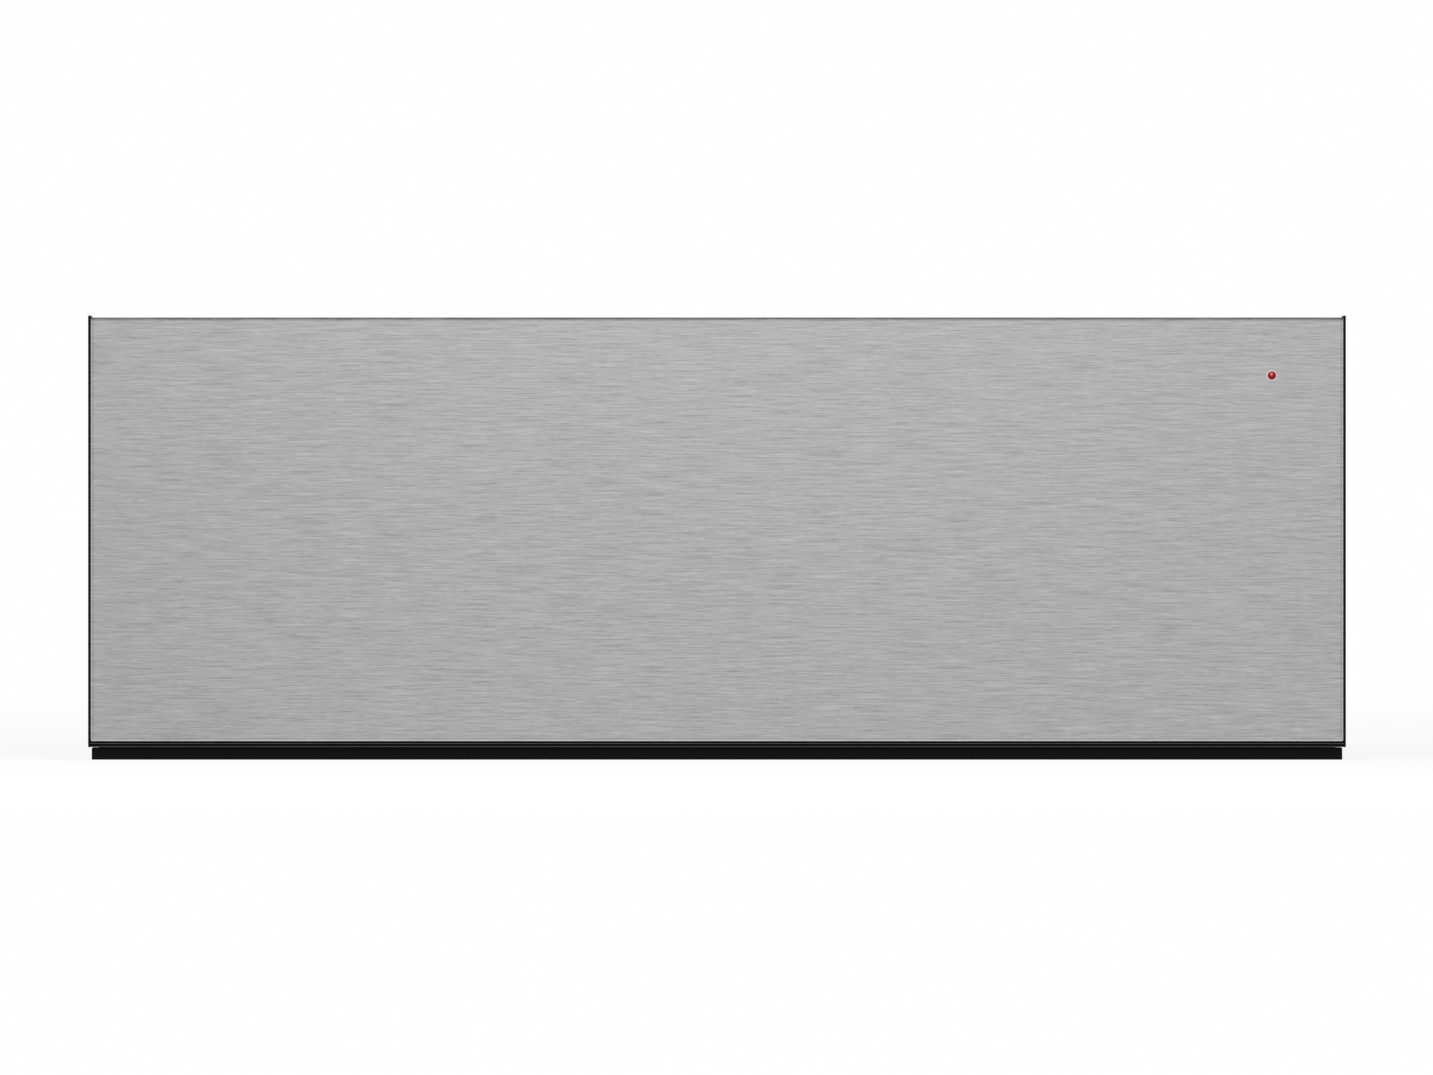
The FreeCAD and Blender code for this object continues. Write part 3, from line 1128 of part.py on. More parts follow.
def post_places():
    x = BOARD_LENGTH / 2 - POST_DIAMETER
    y = BOARD_DEPTH / 2 - POST_DIAMETER
    return [(CONTROL_X + sx * x, FASCIA_MID_Y + sy * y) for sx in (-1, 1) for sy in (-1, 1)]


def control_fascia():
    """Black moulded strip behind the front, with holes for the knob, button and lamps."""
    t = FASCIA_WALL
    half = DRAWER_IN_X - FASCIA_CLEARANCE
    y0, y1 = FASCIA_FRONT_Y, FASCIA_BACK_Y
    z_roof = FASCIA_TOP - t
    whole = block(-half, half, y0, y1, FASCIA_BOTTOM, FASCIA_TOP)
    whole = rounded(whole, FASCIA_EDGE_RADIUS, lambda b: near(b.ZMin, FASCIA_TOP) and near(b.YMin, y1))
    hollow = block(-half + t, half - t, y0 + t, y1 - t, FASCIA_BOTTOM, z_roof)
    hollow = rounded(hollow, FASCIA_EDGE_RADIUS - t, lambda b: near(b.ZMin, z_roof) and near(b.YMin, y1 - t))
    posts = [rod_z(x, y, BOARD_TOP, z_roof, POST_DIAMETER) for x, y in post_places()]
    z0, z1, y = z_roof - OVERCUT, FASCIA_TOP + OVERCUT, FASCIA_MID_Y
    cuts = [rod_z(KNOB_X, y, z0, z1, SHAFT_DIAMETER + 2 * SHAFT_HOLE_CLEARANCE),
            rod_z(KNOB_X, y, FASCIA_TOP - KNOB_RECESS, z1, KNOB_DIAMETER + 2 * KNOB_RECESS_CLEARANCE),
            rod_z(BUTTON_X, y, z0, z1, BUTTON_DIAMETER + 2 * BUTTON_CLEARANCE)]
    cuts += [rod_z(x, y, z0, z1, LEVEL_LAMP) for x in level_lamp_x()]
    return without(joined([whole.cut(hollow)] + posts), cuts)


def control_board():
    """Circuit board under the fascia, with the rotary switch and the button's switch."""
    z1 = BOARD_TOP
    half = BOARD_LENGTH / 2
    y = FASCIA_MID_Y
    deep = BOARD_DEPTH / 2
    board = block(CONTROL_X - half, CONTROL_X + half, y - deep, y + deep, z1 - BOARD, z1)
    h = SWITCH_SIZE / 2
    switch = block(BUTTON_X - h, BUTTON_X + h, y - h, y + h, z1, SWITCH_TOP)
    h = SELECTOR_BODY / 2
    selector = block(KNOB_X - h, KNOB_X + h, y - h, y + h, z1, z1 + SELECTOR_BODY_HEIGHT)
    bore = rod_z(KNOB_X, y, z1, FASCIA_TOP, SHAFT_DIAMETER + 2 * SHAFT_CLEARANCE)
    return joined([board, switch, selector]).cut(bore)


def selector_knob():
    """Round knob with a grip bar across its top, on the switch's shaft."""
    z0, z1 = KNOB_BOTTOM, KNOB_TOP
    z_skirt = z0 + KNOB_SKIRT
    skirt = rod_z(KNOB_X, FASCIA_MID_Y, z0, z_skirt, KNOB_DIAMETER)
    skirt = rounded(skirt, KNOB_SKIRT_ROUND, lambda b: near(b.ZMin, z_skirt))
    reach, half = KNOB_DIAMETER / 2, KNOB_GRIP / 2
    bar = block(KNOB_X - half, KNOB_X + half, FASCIA_MID_Y - reach, FASCIA_MID_Y + reach, z0, z1)
    grip = rod_z(KNOB_X, FASCIA_MID_Y, z_skirt, z1, KNOB_GRIP_LENGTH).common(bar)
    grip = rounded(grip, KNOB_GRIP_ROUND, lambda b: near(b.ZMin, z1))
    shaft = rod_z(KNOB_X, FASCIA_MID_Y, BOARD_TOP + KNOB_GAP, z0, SHAFT_DIAMETER)
    return joined([skirt, grip, shaft])


def power_button():
    """Round button with a stem over its switch."""
    cap = rod_z(BUTTON_X, FASCIA_MID_Y, BUTTON_BOTTOM, BUTTON_TOP, BUTTON_DIAMETER)
    cap = rounded(cap, BUTTON_ROUND, lambda b: near(b.ZMin, BUTTON_TOP))
    return joined([cap, rod_z(BUTTON_X, FASCIA_MID_Y, STEM_BOTTOM, BUTTON_BOTTOM, BUTTON_STEM)])


def button_spring():
    """Return spring of the button, drawn as the sleeve that its coils fill."""
    outer = rod_z(BUTTON_X, FASCIA_MID_Y, SWITCH_TOP, BUTTON_BOTTOM, BUTTON_SPRING)
    return outer.cut(rod_z(BUTTON_X, FASCIA_MID_Y, SWITCH_TOP, BUTTON_BOTTOM, BUTTON_SPRING_BORE))


def level_lamps():
    """Small lenses in a row that show the chosen level."""
    z_roof = FASCIA_TOP - FASCIA_WALL
    lamps = []
    for x in level_lamp_x():
        foot = rod_z(x, FASCIA_MID_Y, BOARD_TOP, z_roof, LEVEL_LAMP_FOOT)
        lamps.append(joined([foot, rod_z(x, FASCIA_MID_Y, z_roof, FASCIA_TOP, LEVEL_LAMP)]))
    return group(lamps)


# ---------------------------------------------------------------- push latches

def latch_housing():
    """Right latch body on the back panel, bored for its plunger and spring."""
    body = rod_y(LATCH_X, LATCH_FRONT_Y, BACK_IN_Y, LATCH_Z, LATCH_DIAMETER)
    w, h = LATCH_FLANGE_WIDTH / 2, LATCH_FLANGE_HEIGHT / 2
    flange = block(LATCH_X - w, LATCH_X + w, LATCH_BORE_END_Y, BACK_IN_Y, LATCH_Z - h, LATCH_Z + h)
    flange = rounded(flange, LATCH_FLANGE, lambda b: near(b.YLength, LATCH_FLANGE))
    bore = PLUNGER_DIAMETER + 2 * PLUNGER_CLEARANCE
    hole = rod_y(LATCH_X, LATCH_FRONT_Y - OVERCUT, LATCH_BORE_END_Y, LATCH_Z, bore)
    return joined([body, flange]).cut(hole)


def latch_plunger():
    """Right plunger, hollow for its spring, with a seat for the magnet."""
    y0, y1 = PLUNGER_FRONT_Y, PLUNGER_BACK_Y
    body = rod_y(LATCH_X, y0, y1, LATCH_Z, PLUNGER_DIAMETER)
    seat = rod_y(LATCH_X, y0, y0 + MAGNET_LENGTH, LATCH_Z, MAGNET_DIAMETER)
    return without(body, [seat, rod_y(LATCH_X, SPRING_FRONT_Y, y1, LATCH_Z, PLUNGER_BORE)])


def latch_magnet():
    return rod_y(LATCH_X, PLUNGER_FRONT_Y, PLUNGER_FRONT_Y + MAGNET_LENGTH, LATCH_Z, MAGNET_DIAMETER)


def latch_spring():
    """Coil spring between the right plunger and the back of its housing."""
    wire = LATCH_SPRING_WIRE
    radius = (LATCH_SPRING - wire) / 2
    length = LATCH_BORE_END_Y - SPRING_FRONT_Y - wire
    helix = Part.makeHelix(length / LATCH_SPRING_TURNS, length, radius)
    ring = Part.Wire(Part.Circle(point(radius, 0, 0), point(0, 1, 0), wire / 2).toShape())
    spring = Part.Wire(helix.Edges).makePipeShell([ring], True, True)
    spring.rotate(point(0, 0, 0), point(1, 0, 0), -90)
    spring.translate(point(LATCH_X, SPRING_FRONT_Y + wire / 2, LATCH_Z))
    return spring


# ---------------------------------------------------------------- moving cable and wiring

def ribbon_lower_run():
    """Flat cable on the cabinet's floor, from the power module to the half turn."""
    return block(RIBBON_LEFT, RIBBON_RIGHT, RIBBON_BEND_Y, MODULE_FRONT_Y, PAN_TOP,
                 PAN_TOP + RIBBON_THICKNESS)


def ribbon_bend():
    """Half turn of the flat cable."""
    x0, x1, y, z = RIBBON_LEFT, RIBBON_RIGHT, RIBBON_BEND_Y, RIBBON_MID_Z
    outer = rod_x(x0, x1, y, z, RIBBON_BEND)
    inner = rod_x(x0, x1, y, z, RIBBON_BEND - 2 * RIBBON_THICKNESS)
    front = block(x0, x1, y - RIBBON_BEND, y, z - RIBBON_BEND, z + RIBBON_BEND)
    return outer.cut(inner).common(front)


def ribbon_upper_run():
    """Flat cable under the drawer, from the half turn to the junction box."""
    return block(RIBBON_LEFT, RIBBON_RIGHT, RIBBON_BEND_Y, JUNCTION_FRONT_Y,
                 RIBBON_TOP - RIBBON_THICKNESS, RIBBON_TOP)


def junction_box():
    """Flat box under the drawer where the flat cable meets the round one."""
    z0 = RIBBON_TOP - RIBBON_THICKNESS - JUNCTION_DROP
    x0 = WIRE_X - WIRE_DIAMETER / 2 - JUNCTION_WALL
    box = block(x0, RIBBON_RIGHT + JUNCTION_WALL, JUNCTION_FRONT_Y, JUNCTION_BACK_Y, z0, DRAWER_BOTTOM)
    return rounded(box, JUNCTION_ROUND, lambda b: near(b.ZMax, z0))


def drawer_wiring():
    """Round cable from the circuit board down behind the front and back under the drawer."""
    corner = point(WIRE_X, WIRE_Y, WIRE_Z)
    top = point(WIRE_X, WIRE_Y, BOARD_TOP - BOARD)
    return tube_along([top, corner, point(WIRE_X, JUNCTION_FRONT_Y, WIRE_Z)], [WIRE_BEND], WIRE_DIAMETER)


# ---------------------------------------------------------------- every piece, by name

OUTER_BEARING = (OUTER_CAGE_WEB, OUTER_CAGE_OPEN, OUTER_ROW, OUTER_BALL)
INNER_BEARING = (INNER_CAGE_WEB, INNER_CAGE_OPEN, INNER_ROW, INNER_BALL)

pieces = {
    "front_skin": front_skin(),
    "front_side_trims": both_sides(front_side_trim()),
    "front_bottom_lip": front_bottom_lip(),
    "front_inner_panel": front_inner_panel(),
    "front_insulation": front_insulation(),
    "indicator_lens": indicator_lens(),
    "indicator_holder": indicator_holder(),
    "cabinet_frame": cabinet_frame(),
    "frame_collar": frame_collar(),
    "door_gasket": door_gasket(),
    "base_pan": base_pan(),
    "side_wall_right": side_wall(),
    "side_wall_left": mirrored(side_wall()),
    "top_cover": top_cover(),
    "back_panel": back_panel(),
    "heat_shield": heat_shield(),
    "top_insulation": top_insulation(),
    "base_strip": base_strip(),
    "feet": feet(),
    "cabinet_screws": cabinet_screws(),
    "terminal_cover": terminal_cover(),
    "cable_gland": cable_gland(),
    "terminal_block": terminal_block(),
    "power_module_case": power_module_case(),
    "power_board": power_board(),
    "rail_outer_members": both_sides(rail_outer()),
    "rail_middle_members": both_sides(rail_middle()),
    "rail_inner_members": both_sides(rail_inner()),
    "outer_ball_cages": both_sides(bearing(*OUTER_BEARING)),
    "inner_ball_cages": both_sides(bearing(*INNER_BEARING)),
    "rail_screws": rail_screws(),
    "drawer_sides": both_sides(drawer_side()),
    "drawer_floor_pan": drawer_floor_pan(),
    "floor_insulation": floor_insulation(),
    "heat_reflector": heat_reflector(),
    "floor_heater": floor_heater(),
    "floor_thermostat": floor_thermostat(),
    "glass_plate": glass_plate(),
    "drawer_front_wall": drawer_front_wall(),
    "drawer_rear_wall": drawer_rear_wall(),
    "latch_strikers": both_sides(latch_striker()),
    "fan_housing": fan_housing(),
    "fan_motor": fan_motor(),
    "fan_impeller": fan_impeller(),
    "fan_heater_ring": fan_heater_ring(),
    "control_fascia": control_fascia(),
    "control_board": control_board(),
    "selector_knob": selector_knob(),
    "power_button": power_button(),
    "button_spring": button_spring(),
    "level_lamps": level_lamps(),
    "latch_housings": both_sides(latch_housing()),
    "latch_plungers": both_sides(latch_plunger()),
    "latch_magnets": both_sides(latch_magnet()),
    "latch_springs": both_sides(latch_spring()),
    "ribbon_lower_run": ribbon_lower_run(),
    "ribbon_bend": ribbon_bend(),
    "ribbon_upper_run": ribbon_upper_run(),
    "junction_box": junction_box(),
    "drawer_wiring": drawer_wiring(),
}

os.makedirs("parts", exist_ok=True)
for name, shape in pieces.items():
    shape.exportStep(f"parts/{name}.step")
print(len(pieces), "pieces written")
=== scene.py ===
# %% [markdown]
# # A built-in warming drawer
# This lesson dresses a kitchen warming drawer that stands shut: a plain brushed steel front, black
# trims at its sides, a ribbed lip and a recessed black strip below it. The cabinet behind it and the
# drawer inside it come from a CAD model, which is loaded first and never moved. What the kitchen sees
# is then given better edges, small parts and a finish of its own.

# %% Load the CAD model
import json
import math
from contextlib import contextmanager

import bmesh
import bpy
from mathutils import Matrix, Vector


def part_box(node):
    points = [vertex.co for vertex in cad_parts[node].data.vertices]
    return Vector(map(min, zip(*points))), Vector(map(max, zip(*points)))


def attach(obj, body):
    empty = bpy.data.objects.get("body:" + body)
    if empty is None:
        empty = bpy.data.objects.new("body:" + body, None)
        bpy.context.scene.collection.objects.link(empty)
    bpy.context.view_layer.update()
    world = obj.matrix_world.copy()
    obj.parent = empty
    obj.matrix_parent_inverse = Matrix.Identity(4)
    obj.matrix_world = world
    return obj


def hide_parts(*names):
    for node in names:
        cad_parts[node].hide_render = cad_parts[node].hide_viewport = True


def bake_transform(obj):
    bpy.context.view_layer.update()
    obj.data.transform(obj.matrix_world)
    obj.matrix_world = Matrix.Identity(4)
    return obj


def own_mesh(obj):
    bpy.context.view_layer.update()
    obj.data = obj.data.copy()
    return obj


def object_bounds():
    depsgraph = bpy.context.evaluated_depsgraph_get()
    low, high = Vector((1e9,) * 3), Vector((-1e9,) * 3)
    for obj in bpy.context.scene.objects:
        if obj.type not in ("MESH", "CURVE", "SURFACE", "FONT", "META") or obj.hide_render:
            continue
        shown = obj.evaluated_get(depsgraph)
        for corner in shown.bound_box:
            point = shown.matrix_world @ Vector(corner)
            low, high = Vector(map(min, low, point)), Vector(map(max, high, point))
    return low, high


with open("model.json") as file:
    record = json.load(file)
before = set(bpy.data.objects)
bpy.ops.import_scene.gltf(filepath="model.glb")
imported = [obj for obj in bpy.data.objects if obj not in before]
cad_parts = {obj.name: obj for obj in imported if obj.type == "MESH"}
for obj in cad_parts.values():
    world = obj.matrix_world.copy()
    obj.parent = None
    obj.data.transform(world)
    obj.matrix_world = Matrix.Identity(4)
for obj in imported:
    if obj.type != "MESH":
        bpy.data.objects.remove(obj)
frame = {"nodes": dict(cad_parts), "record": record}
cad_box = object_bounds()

# %% [markdown]
# The camera comes first, because everything else is judged through it. It stands well back with a
# long lens, so that the front shows as a plain rectangle that doesn't narrow anywhere. Its distance
# is worked out from the width of view that is wanted at the front's own plane.

# %% Camera
MM = 0.001
LENS = 300.0                      # focal length and sensor width, both in millimetres
SENSOR = 36.0
VIEW_WIDTH = 861.2 * MM           # how much of the front's plane fits across the view
SIDESTEP, LIFT = -0.3 * MM, 0.1 * MM      # from the middle of the front to the middle of the view
FLOOR_SIZE = 60.0                 # metres; the camera sees as far
front_low, front_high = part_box("front_skin")
middle_height = cad_box[1].z / 2

camera_data = bpy.data.cameras.new("camera")
camera_data.lens = LENS
camera_data.sensor_width = SENSOR
camera_data.clip_end = FLOOR_SIZE
camera = bpy.data.objects.new("camera", camera_data)
bpy.context.scene.collection.objects.link(camera)
camera.location = (SIDESTEP, front_low.y - VIEW_WIDTH * LENS / SENSOR, middle_height + LIFT)
camera.rotation_euler = (math.radians(90), 0, 0)
bpy.context.scene.camera = camera
bpy.context.scene.view_settings.view_transform = "Standard"
print("camera stands", round(front_low.y - camera.location.y, 2), "m in front")

# %% [markdown]
# A finish is built from nodes, and node trees are long to write out. The small class below wraps
# one value of the tree, so that an ordinary expression such as `1 - grain * 0.2` adds the Math nodes
# that work it out.

# %% Shader values
class Value:
    """A number that varies over a surface; arithmetic on it adds Math nodes."""

    def __init__(self, nodes, socket):
        self.nodes = nodes
        self.socket = socket

    def worked(self, operation, *numbers):
        return self.nodes.node("ShaderNodeMath", {"operation": operation}, dict(enumerate(numbers)))

    def __add__(self, other):
        return self.worked("ADD", self, other)

    def __radd__(self, other):
        return self.worked("ADD", other, self)

    def __sub__(self, other):
        return self.worked("SUBTRACT", self, other)

    def __rsub__(self, other):
        return self.worked("SUBTRACT", other, self)

    def __mul__(self, other):
        return self.worked("MULTIPLY", self, other)

    def __rmul__(self, other):
        return self.worked("MULTIPLY", other, self)

    def root(self):
        return self.worked("SQRT", self)

    def at_least(self, other):
        return self.worked("MAXIMUM", self, other)

    def between(self, low, high):
        """0 below low, 1 above high, and straight between them."""
        ends = {0: self, 1: low, 2: high, 3: 0.0, 4: 1.0}
        return self.nodes.node("ShaderNodeMapRange", {"clamp": True}, ends)


print("shader values ready")

# %% [markdown]
# Every other node comes from one method: its settings are made first, because some of them change
# which sockets it has, and then its sockets get their values or links. The sky is such a tree of
# nodes, and so is each material. A finish is a material with the patterns that the finishes share.

# %% Nodes and finishes
class Nodes:
    """A node tree, and the one way to add a node to it."""

    def __init__(self, tree):
        self.tree = tree

    def feed(self, node, inputs):
        """Gives a node's sockets their values or links."""
        for key, value in inputs.items():
            if isinstance(value, Value):
                self.tree.links.new(value.socket, node.inputs[key])
            else:
                node.inputs[key].default_value = value

    def node(self, kind, settings, inputs, out=0):
        """Adds a node and returns one of its outputs."""
        node = self.tree.nodes.new(kind)
        for key, value in settings.items():
            setattr(node, key, value)
        self.feed(node, inputs)
        return Value(self, node.outputs[out])

    def seen(self):
        """1 for rays from the camera and for mirror and glass rays, 0 for the rest."""
        direct, mirrored, through = (self.node("ShaderNodeLightPath", {}, {}, f"Is {kind} Ray")
                                     for kind in ("Camera", "Glossy", "Transmission"))
        return direct.at_least(mirrored).at_least(through)


class Finish(Nodes):
    """A new material, and the shader that its nodes feed."""

    def __init__(self, name, **sockets):
        self.material = bpy.data.materials.new(name)
        self.material.use_nodes = True
        super().__init__(self.material.node_tree)
        self.shader = self.tree.nodes["Principled BSDF"]
        self.surface(**sockets)

    def surface(self, **sockets):
        """Feeds the shader and returns the material."""
        self.feed(self.shader, {key.replace("_", " "): value for key, value in sockets.items()})
        return self.material

    def place(self, scale=(1, 1, 1), shift=(0, 0, 0)):
        """The point on the object, stretched and shifted."""
        here = self.node("ShaderNodeTexCoord", {}, {}, "Object")
        return self.node("ShaderNodeMapping", {}, {"Vector": here, "Scale": scale, "Location": shift})

    def along(self, axis, shift=(0, 0, 0)):
        """One coordinate of the point on the object."""
        return self.node("ShaderNodeSeparateXYZ", {}, {"Vector": self.place(shift=shift)}, axis)

    def noise(self, scale, detail=2.0, rough=0.5):
        """Cloudy noise; scale is how many of its waves fit a metre along each axis."""
        inputs = {"Vector": self.place(scale), "Scale": 1.0, "Detail": detail, "Roughness": rough}
        return self.node("ShaderNodeTexNoise", {}, inputs)

    def mix(self, factor, a, b):
        """A colour between two colours."""
        a, b = ((*c, 1) if isinstance(c, tuple) else c for c in (a, b))
        return self.node("ShaderNodeMix", {"data_type": "RGBA"}, {0: factor, 6: a, 7: b}, 2)

    def shade(self, colour, amount):
        """A colour made lighter or darker by a varying amount around 1."""
        black = (0.0, 0.0, 0.0)
        return self.mix(amount * 0.5, black, tuple(2 * c for c in colour))

    def bump(self, height, strength, depth):
        """A fine relief; depth is its full height in metres."""
        return self.node("ShaderNodeBump", {}, {"Height": height, "Strength": strength, "Distance": depth})


finishes = {}
print("nodes and finishes ready")

# %% [markdown]
# Sheet steel is brushed by a belt that runs one way, so its grain is a field of fine streaks, long
# along the belt and hardly a hair high. Stretched noise gives that. The streaks change the tone by
# a few percent and the roughness a little, and the metal keeps one colour. The same recipe, with
# other colours and scales, serves the drawer's inside, the rails, the springs and the magnets.

# %% Brushed and rolled metal
def brushed(name, colour, rough, streak, contrast, metal=1.0):
    """Metal with a one-way grain; streak is the size of one streak along each axis."""
    finish = Finish(name, Metallic=metal)
    scale = tuple(1 / size for size in streak)
    coarse = finish.noise(scale, 3.0, 0.62)
    fine = finish.noise(tuple(2.7 * s for s in scale), 1.0, 0.5)
    clouds = finish.noise((7, 7, 7), 2.0)
    grain = coarse * 0.7 + fine * 0.3 - 0.5
    tone = 1 + grain * contrast + (clouds - 0.5) * (contrast * 0.12)
    return finish.surface(
        Base_Color=finish.shade(colour, tone),
        Roughness=rough + grain * 0.22,
        Normal=finish.bump(coarse, 0.25, 0.00002))


finishes["stainless"] = brushed("stainless", (0.60, 0.60, 0.59), 0.36, (0.034, 0.034, 0.0006), 0.34, 0.82)
finishes["aluminium_sheet"] = brushed("aluminium_sheet", (0.66, 0.66, 0.66), 0.36, (0.05, 0.05, 0.05), 0.15)
finishes["zinc_rail"] = brushed("zinc_rail", (0.56, 0.57, 0.59), 0.30, (0.0006, 0.030, 0.0006), 0.2)
finishes["bearing_steel"] = brushed("bearing_steel", (0.60, 0.60, 0.61), 0.18, (0.003, 0.003, 0.003), 0.1)
finishes["spring_steel"] = brushed("spring_steel", (0.52, 0.52, 0.53), 0.24, (0.001, 0.001, 0.001), 0.1)
finishes["magnet"] = brushed("magnet", (0.42, 0.42, 0.43), 0.35, (0.002, 0.002, 0.002), 0.2)
print("brushed metals:", len(finishes))

# %% [markdown]
# The front is what the kitchen sees, so its steel gets a recipe of its own. Its streaks come in two
# sizes: some as long as a thumb is wide and less than a millimetre high, and hairlines between them.
# The folded top is painted darker, as painted shade where the fold turns away from the light, and so,
# faintly, are the last millimetres at the sides and the bottom, where the sheet begins to turn. Right at
# the edge there a thin light rim is a painted highlight, where the rounded edge catches the light. How far
# a point is from the sheet's edges sets all of this: each band below is full up to its first distance, and
# has faded out at its second.

# %% Front steel
# painted shade at the top fold and at the turns of the sides and the foot, and a painted highlight at the
# edge rim
FOLD_SHADE, FOLD_SHADE_DEPTH = (0.9 * MM, 2.3 * MM), (0.7 * MM, 1.3 * MM)     # from the top, and from the face
SIDE_TURN_SHADE, FOOT_TURN_SHADE = (1.0 * MM, 2.4 * MM), (1.7 * MM, 2.5 * MM)
SIDE_HIGHLIGHT, FOOT_HIGHLIGHT, HIGHLIGHT_DEPTH = (0.75 * MM, 1.0 * MM), (0.95 * MM, 1.2 * MM), (1.6 * MM, 2.0 * MM)


def near(distance, band):
    """1 up to the band's first distance, 0 past its second."""
    return 1 - distance.between(*band)


def front_steel(name, colour, low, high):
    """low and high are the corners of the folded sheet."""
    finish = Finish(name, Metallic=1.0)
    streaks = finish.noise((1 / 0.026, 1 / 0.00066, 1 / 0.00066), 1.0, 0.45)
    hairs = finish.noise((1 / 0.005, 1 / 0.0005, 1 / 0.0005), 1.0, 0.5)
    clouds = finish.noise((2.2, 2.2, 3.1), 2.0)
    grain = streaks * 0.62 + hairs * 0.38 - 0.5
    x, y, z = (finish.along(axis) for axis in (0, 1, 2))
    from_top, from_foot, from_face = high.z - z, z - low.z, y - low.y
    from_side = high.x - (x * x).root()
    fold_shade = near(from_top, FOLD_SHADE) * near(from_face, FOLD_SHADE_DEPTH)
    side_highlight, foot_highlight = near(from_side, SIDE_HIGHLIGHT), near(from_foot, FOOT_HIGHLIGHT)
    # turn is painted shade where the sheet turns at the sides and the foot
    turn = near(from_side, SIDE_TURN_SHADE) * 0.26 + near(from_foot, FOOT_TURN_SHADE) * 0.12
    turn = turn * (1 - side_highlight) * (1 - foot_highlight)
    # rim is a painted highlight along the side and foot edges
    rim = (side_highlight * 0.36 + foot_highlight * 0.52) * near(from_face, HIGHLIGHT_DEPTH)
    # the tone loses the painted shade of the fold and the turns, and gains the painted highlight of the rim
    tone = 1 + grain * 1.12 + (clouds - 0.5) * 0.04 - fold_shade * 0.6 - turn + rim
    return finish.surface(
        Base_Color=finish.shade(colour, tone),
        Roughness=0.38 + grain * 0.2,
        Normal=finish.bump(streaks, 0.2, 0.00002))


finishes["brushed_front"] = front_steel("brushed_front", (0.402, 0.402, 0.402), front_low, front_high)
print("front steel ready")

# %% [markdown]
# Galvanised sheet shows its zinc crystals as spangle: patches with soft straight edges, each with
# a slightly different grey and gloss. Voronoi cells make that pattern, and one random number for
# each cell sets both.

# %% Galvanised sheet
def galvanised(name, colour, cell):
    """cell is the size of one zinc crystal, in metres."""
    finish = Finish(name, Metallic=1.0)
    warp = finish.noise((60, 60, 60), 2.0)
    spread = finish.place((1 / cell,) * 3)
    push = finish.node("ShaderNodeCombineXYZ", {}, {0: warp, 1: warp, 2: warp})
    bent = finish.node("ShaderNodeVectorMath", {"operation": "ADD"}, {0: spread, 1: push})
    crystal = finish.node("ShaderNodeTexVoronoi", {}, {"Vector": bent, "Scale": 1.0}, "Color")
    lightness = finish.node("ShaderNodeSeparateColor", {}, {0: crystal}, 0)
    frost = finish.noise((900, 900, 900), 2.0)
    dull = finish.noise((9, 9, 9), 3.0)
    tone = 0.90 + lightness * 0.19 + (frost - 0.5) * 0.12 + (dull - 0.5) * 0.12
    return finish.surface(
        Base_Color=finish.shade(colour, tone),
        Roughness=0.36 + lightness * 0.12 + (dull - 0.5) * 0.12,
        Normal=finish.bump(frost, 0.15, 0.00003))


finishes["galvanised"] = galvanised("galvanised", (0.47, 0.485, 0.50), 0.011)
print("galvanised sheet ready")

# %% [markdown]
# Moulded plastic, rubber and powder paint are all dull, even skins with a very fine relief. One
# recipe covers them: a colour that wanders a little, a roughness with the same clouds, and a bump
# whose waves are as fine as the texture of the tool or the spray. Black parts are given little
# reflectance, because a satin black that mirrors a white room turns grey.

# %% Moulded and painted skins
def skin(name, colour, rough, wave, relief, mirror=0.5, coat=0.0):
    """wave is the size of the relief's pattern and relief its height, in metres."""
    finish = Finish(name, Specular_IOR_Level=mirror, Coat_Weight=coat, Coat_Roughness=0.08)
    pebbles = finish.noise((1 / wave,) * 3, 2.0, 0.6)
    clouds = finish.noise((14, 14, 14), 3.0)
    return finish.surface(
        Base_Color=finish.shade(colour, 1 + (pebbles - 0.5) * 0.25 + (clouds - 0.5) * 0.25),
        Roughness=rough + (clouds - 0.5) * 0.14 + (pebbles - 0.5) * 0.08,
        Normal=finish.bump(pebbles, 0.5, relief))


finishes["black_trim"] = skin("black_trim", (0.006, 0.006, 0.0065), 0.55, 0.0005, 0.00002, 0.03)
# a glossier copy of the black trim for the rib noses; its lighter colour is a painted highlight
finishes["rib_gloss_highlight"] = skin("rib_gloss_highlight", (0.017, 0.017, 0.0175), 0.32, 0.0005, 0.00001, 0.75)
finishes["black_steel"] = skin("black_steel", (0.0045, 0.0045, 0.0048), 0.52, 0.0007, 0.00004, 0.06)
finishes["black_plastic"] = skin("black_plastic", (0.014, 0.014, 0.015), 0.48, 0.0005, 0.00003, 0.30)
finishes["grey_plastic"] = skin("grey_plastic", (0.30, 0.30, 0.31), 0.50, 0.0005, 0.00003)
finishes["cream_plastic"] = skin("cream_plastic", (0.66, 0.62, 0.52), 0.45, 0.0006, 0.00002)
finishes["circuit_board"] = skin("circuit_board", (0.02, 0.13, 0.055), 0.35, 0.0012, 0.00003)
finishes["black_rubber"] = skin("black_rubber", (0.013, 0.013, 0.013), 0.72, 0.0008, 0.00005, 0.30)
finishes["silicone"] = skin("silicone", (0.02, 0.02, 0.021), 0.58, 0.0012, 0.00002, 0.35)
finishes["cable_sheath"] = skin("cable_sheath", (0.075, 0.075, 0.08), 0.50, 0.0009, 0.00002)
finishes["motor_steel"] = skin("motor_steel", (0.22, 0.22, 0.23), 0.38, 0.0008, 0.00003, 0.6)
finishes["mineral_wool"] = skin("mineral_wool", (0.42, 0.35, 0.20), 0.95, 0.0022, 0.0006, 0.05)
finishes["black_glass"] = skin("black_glass", (0.004, 0.004, 0.0045), 0.09, 0.002, 0.0)
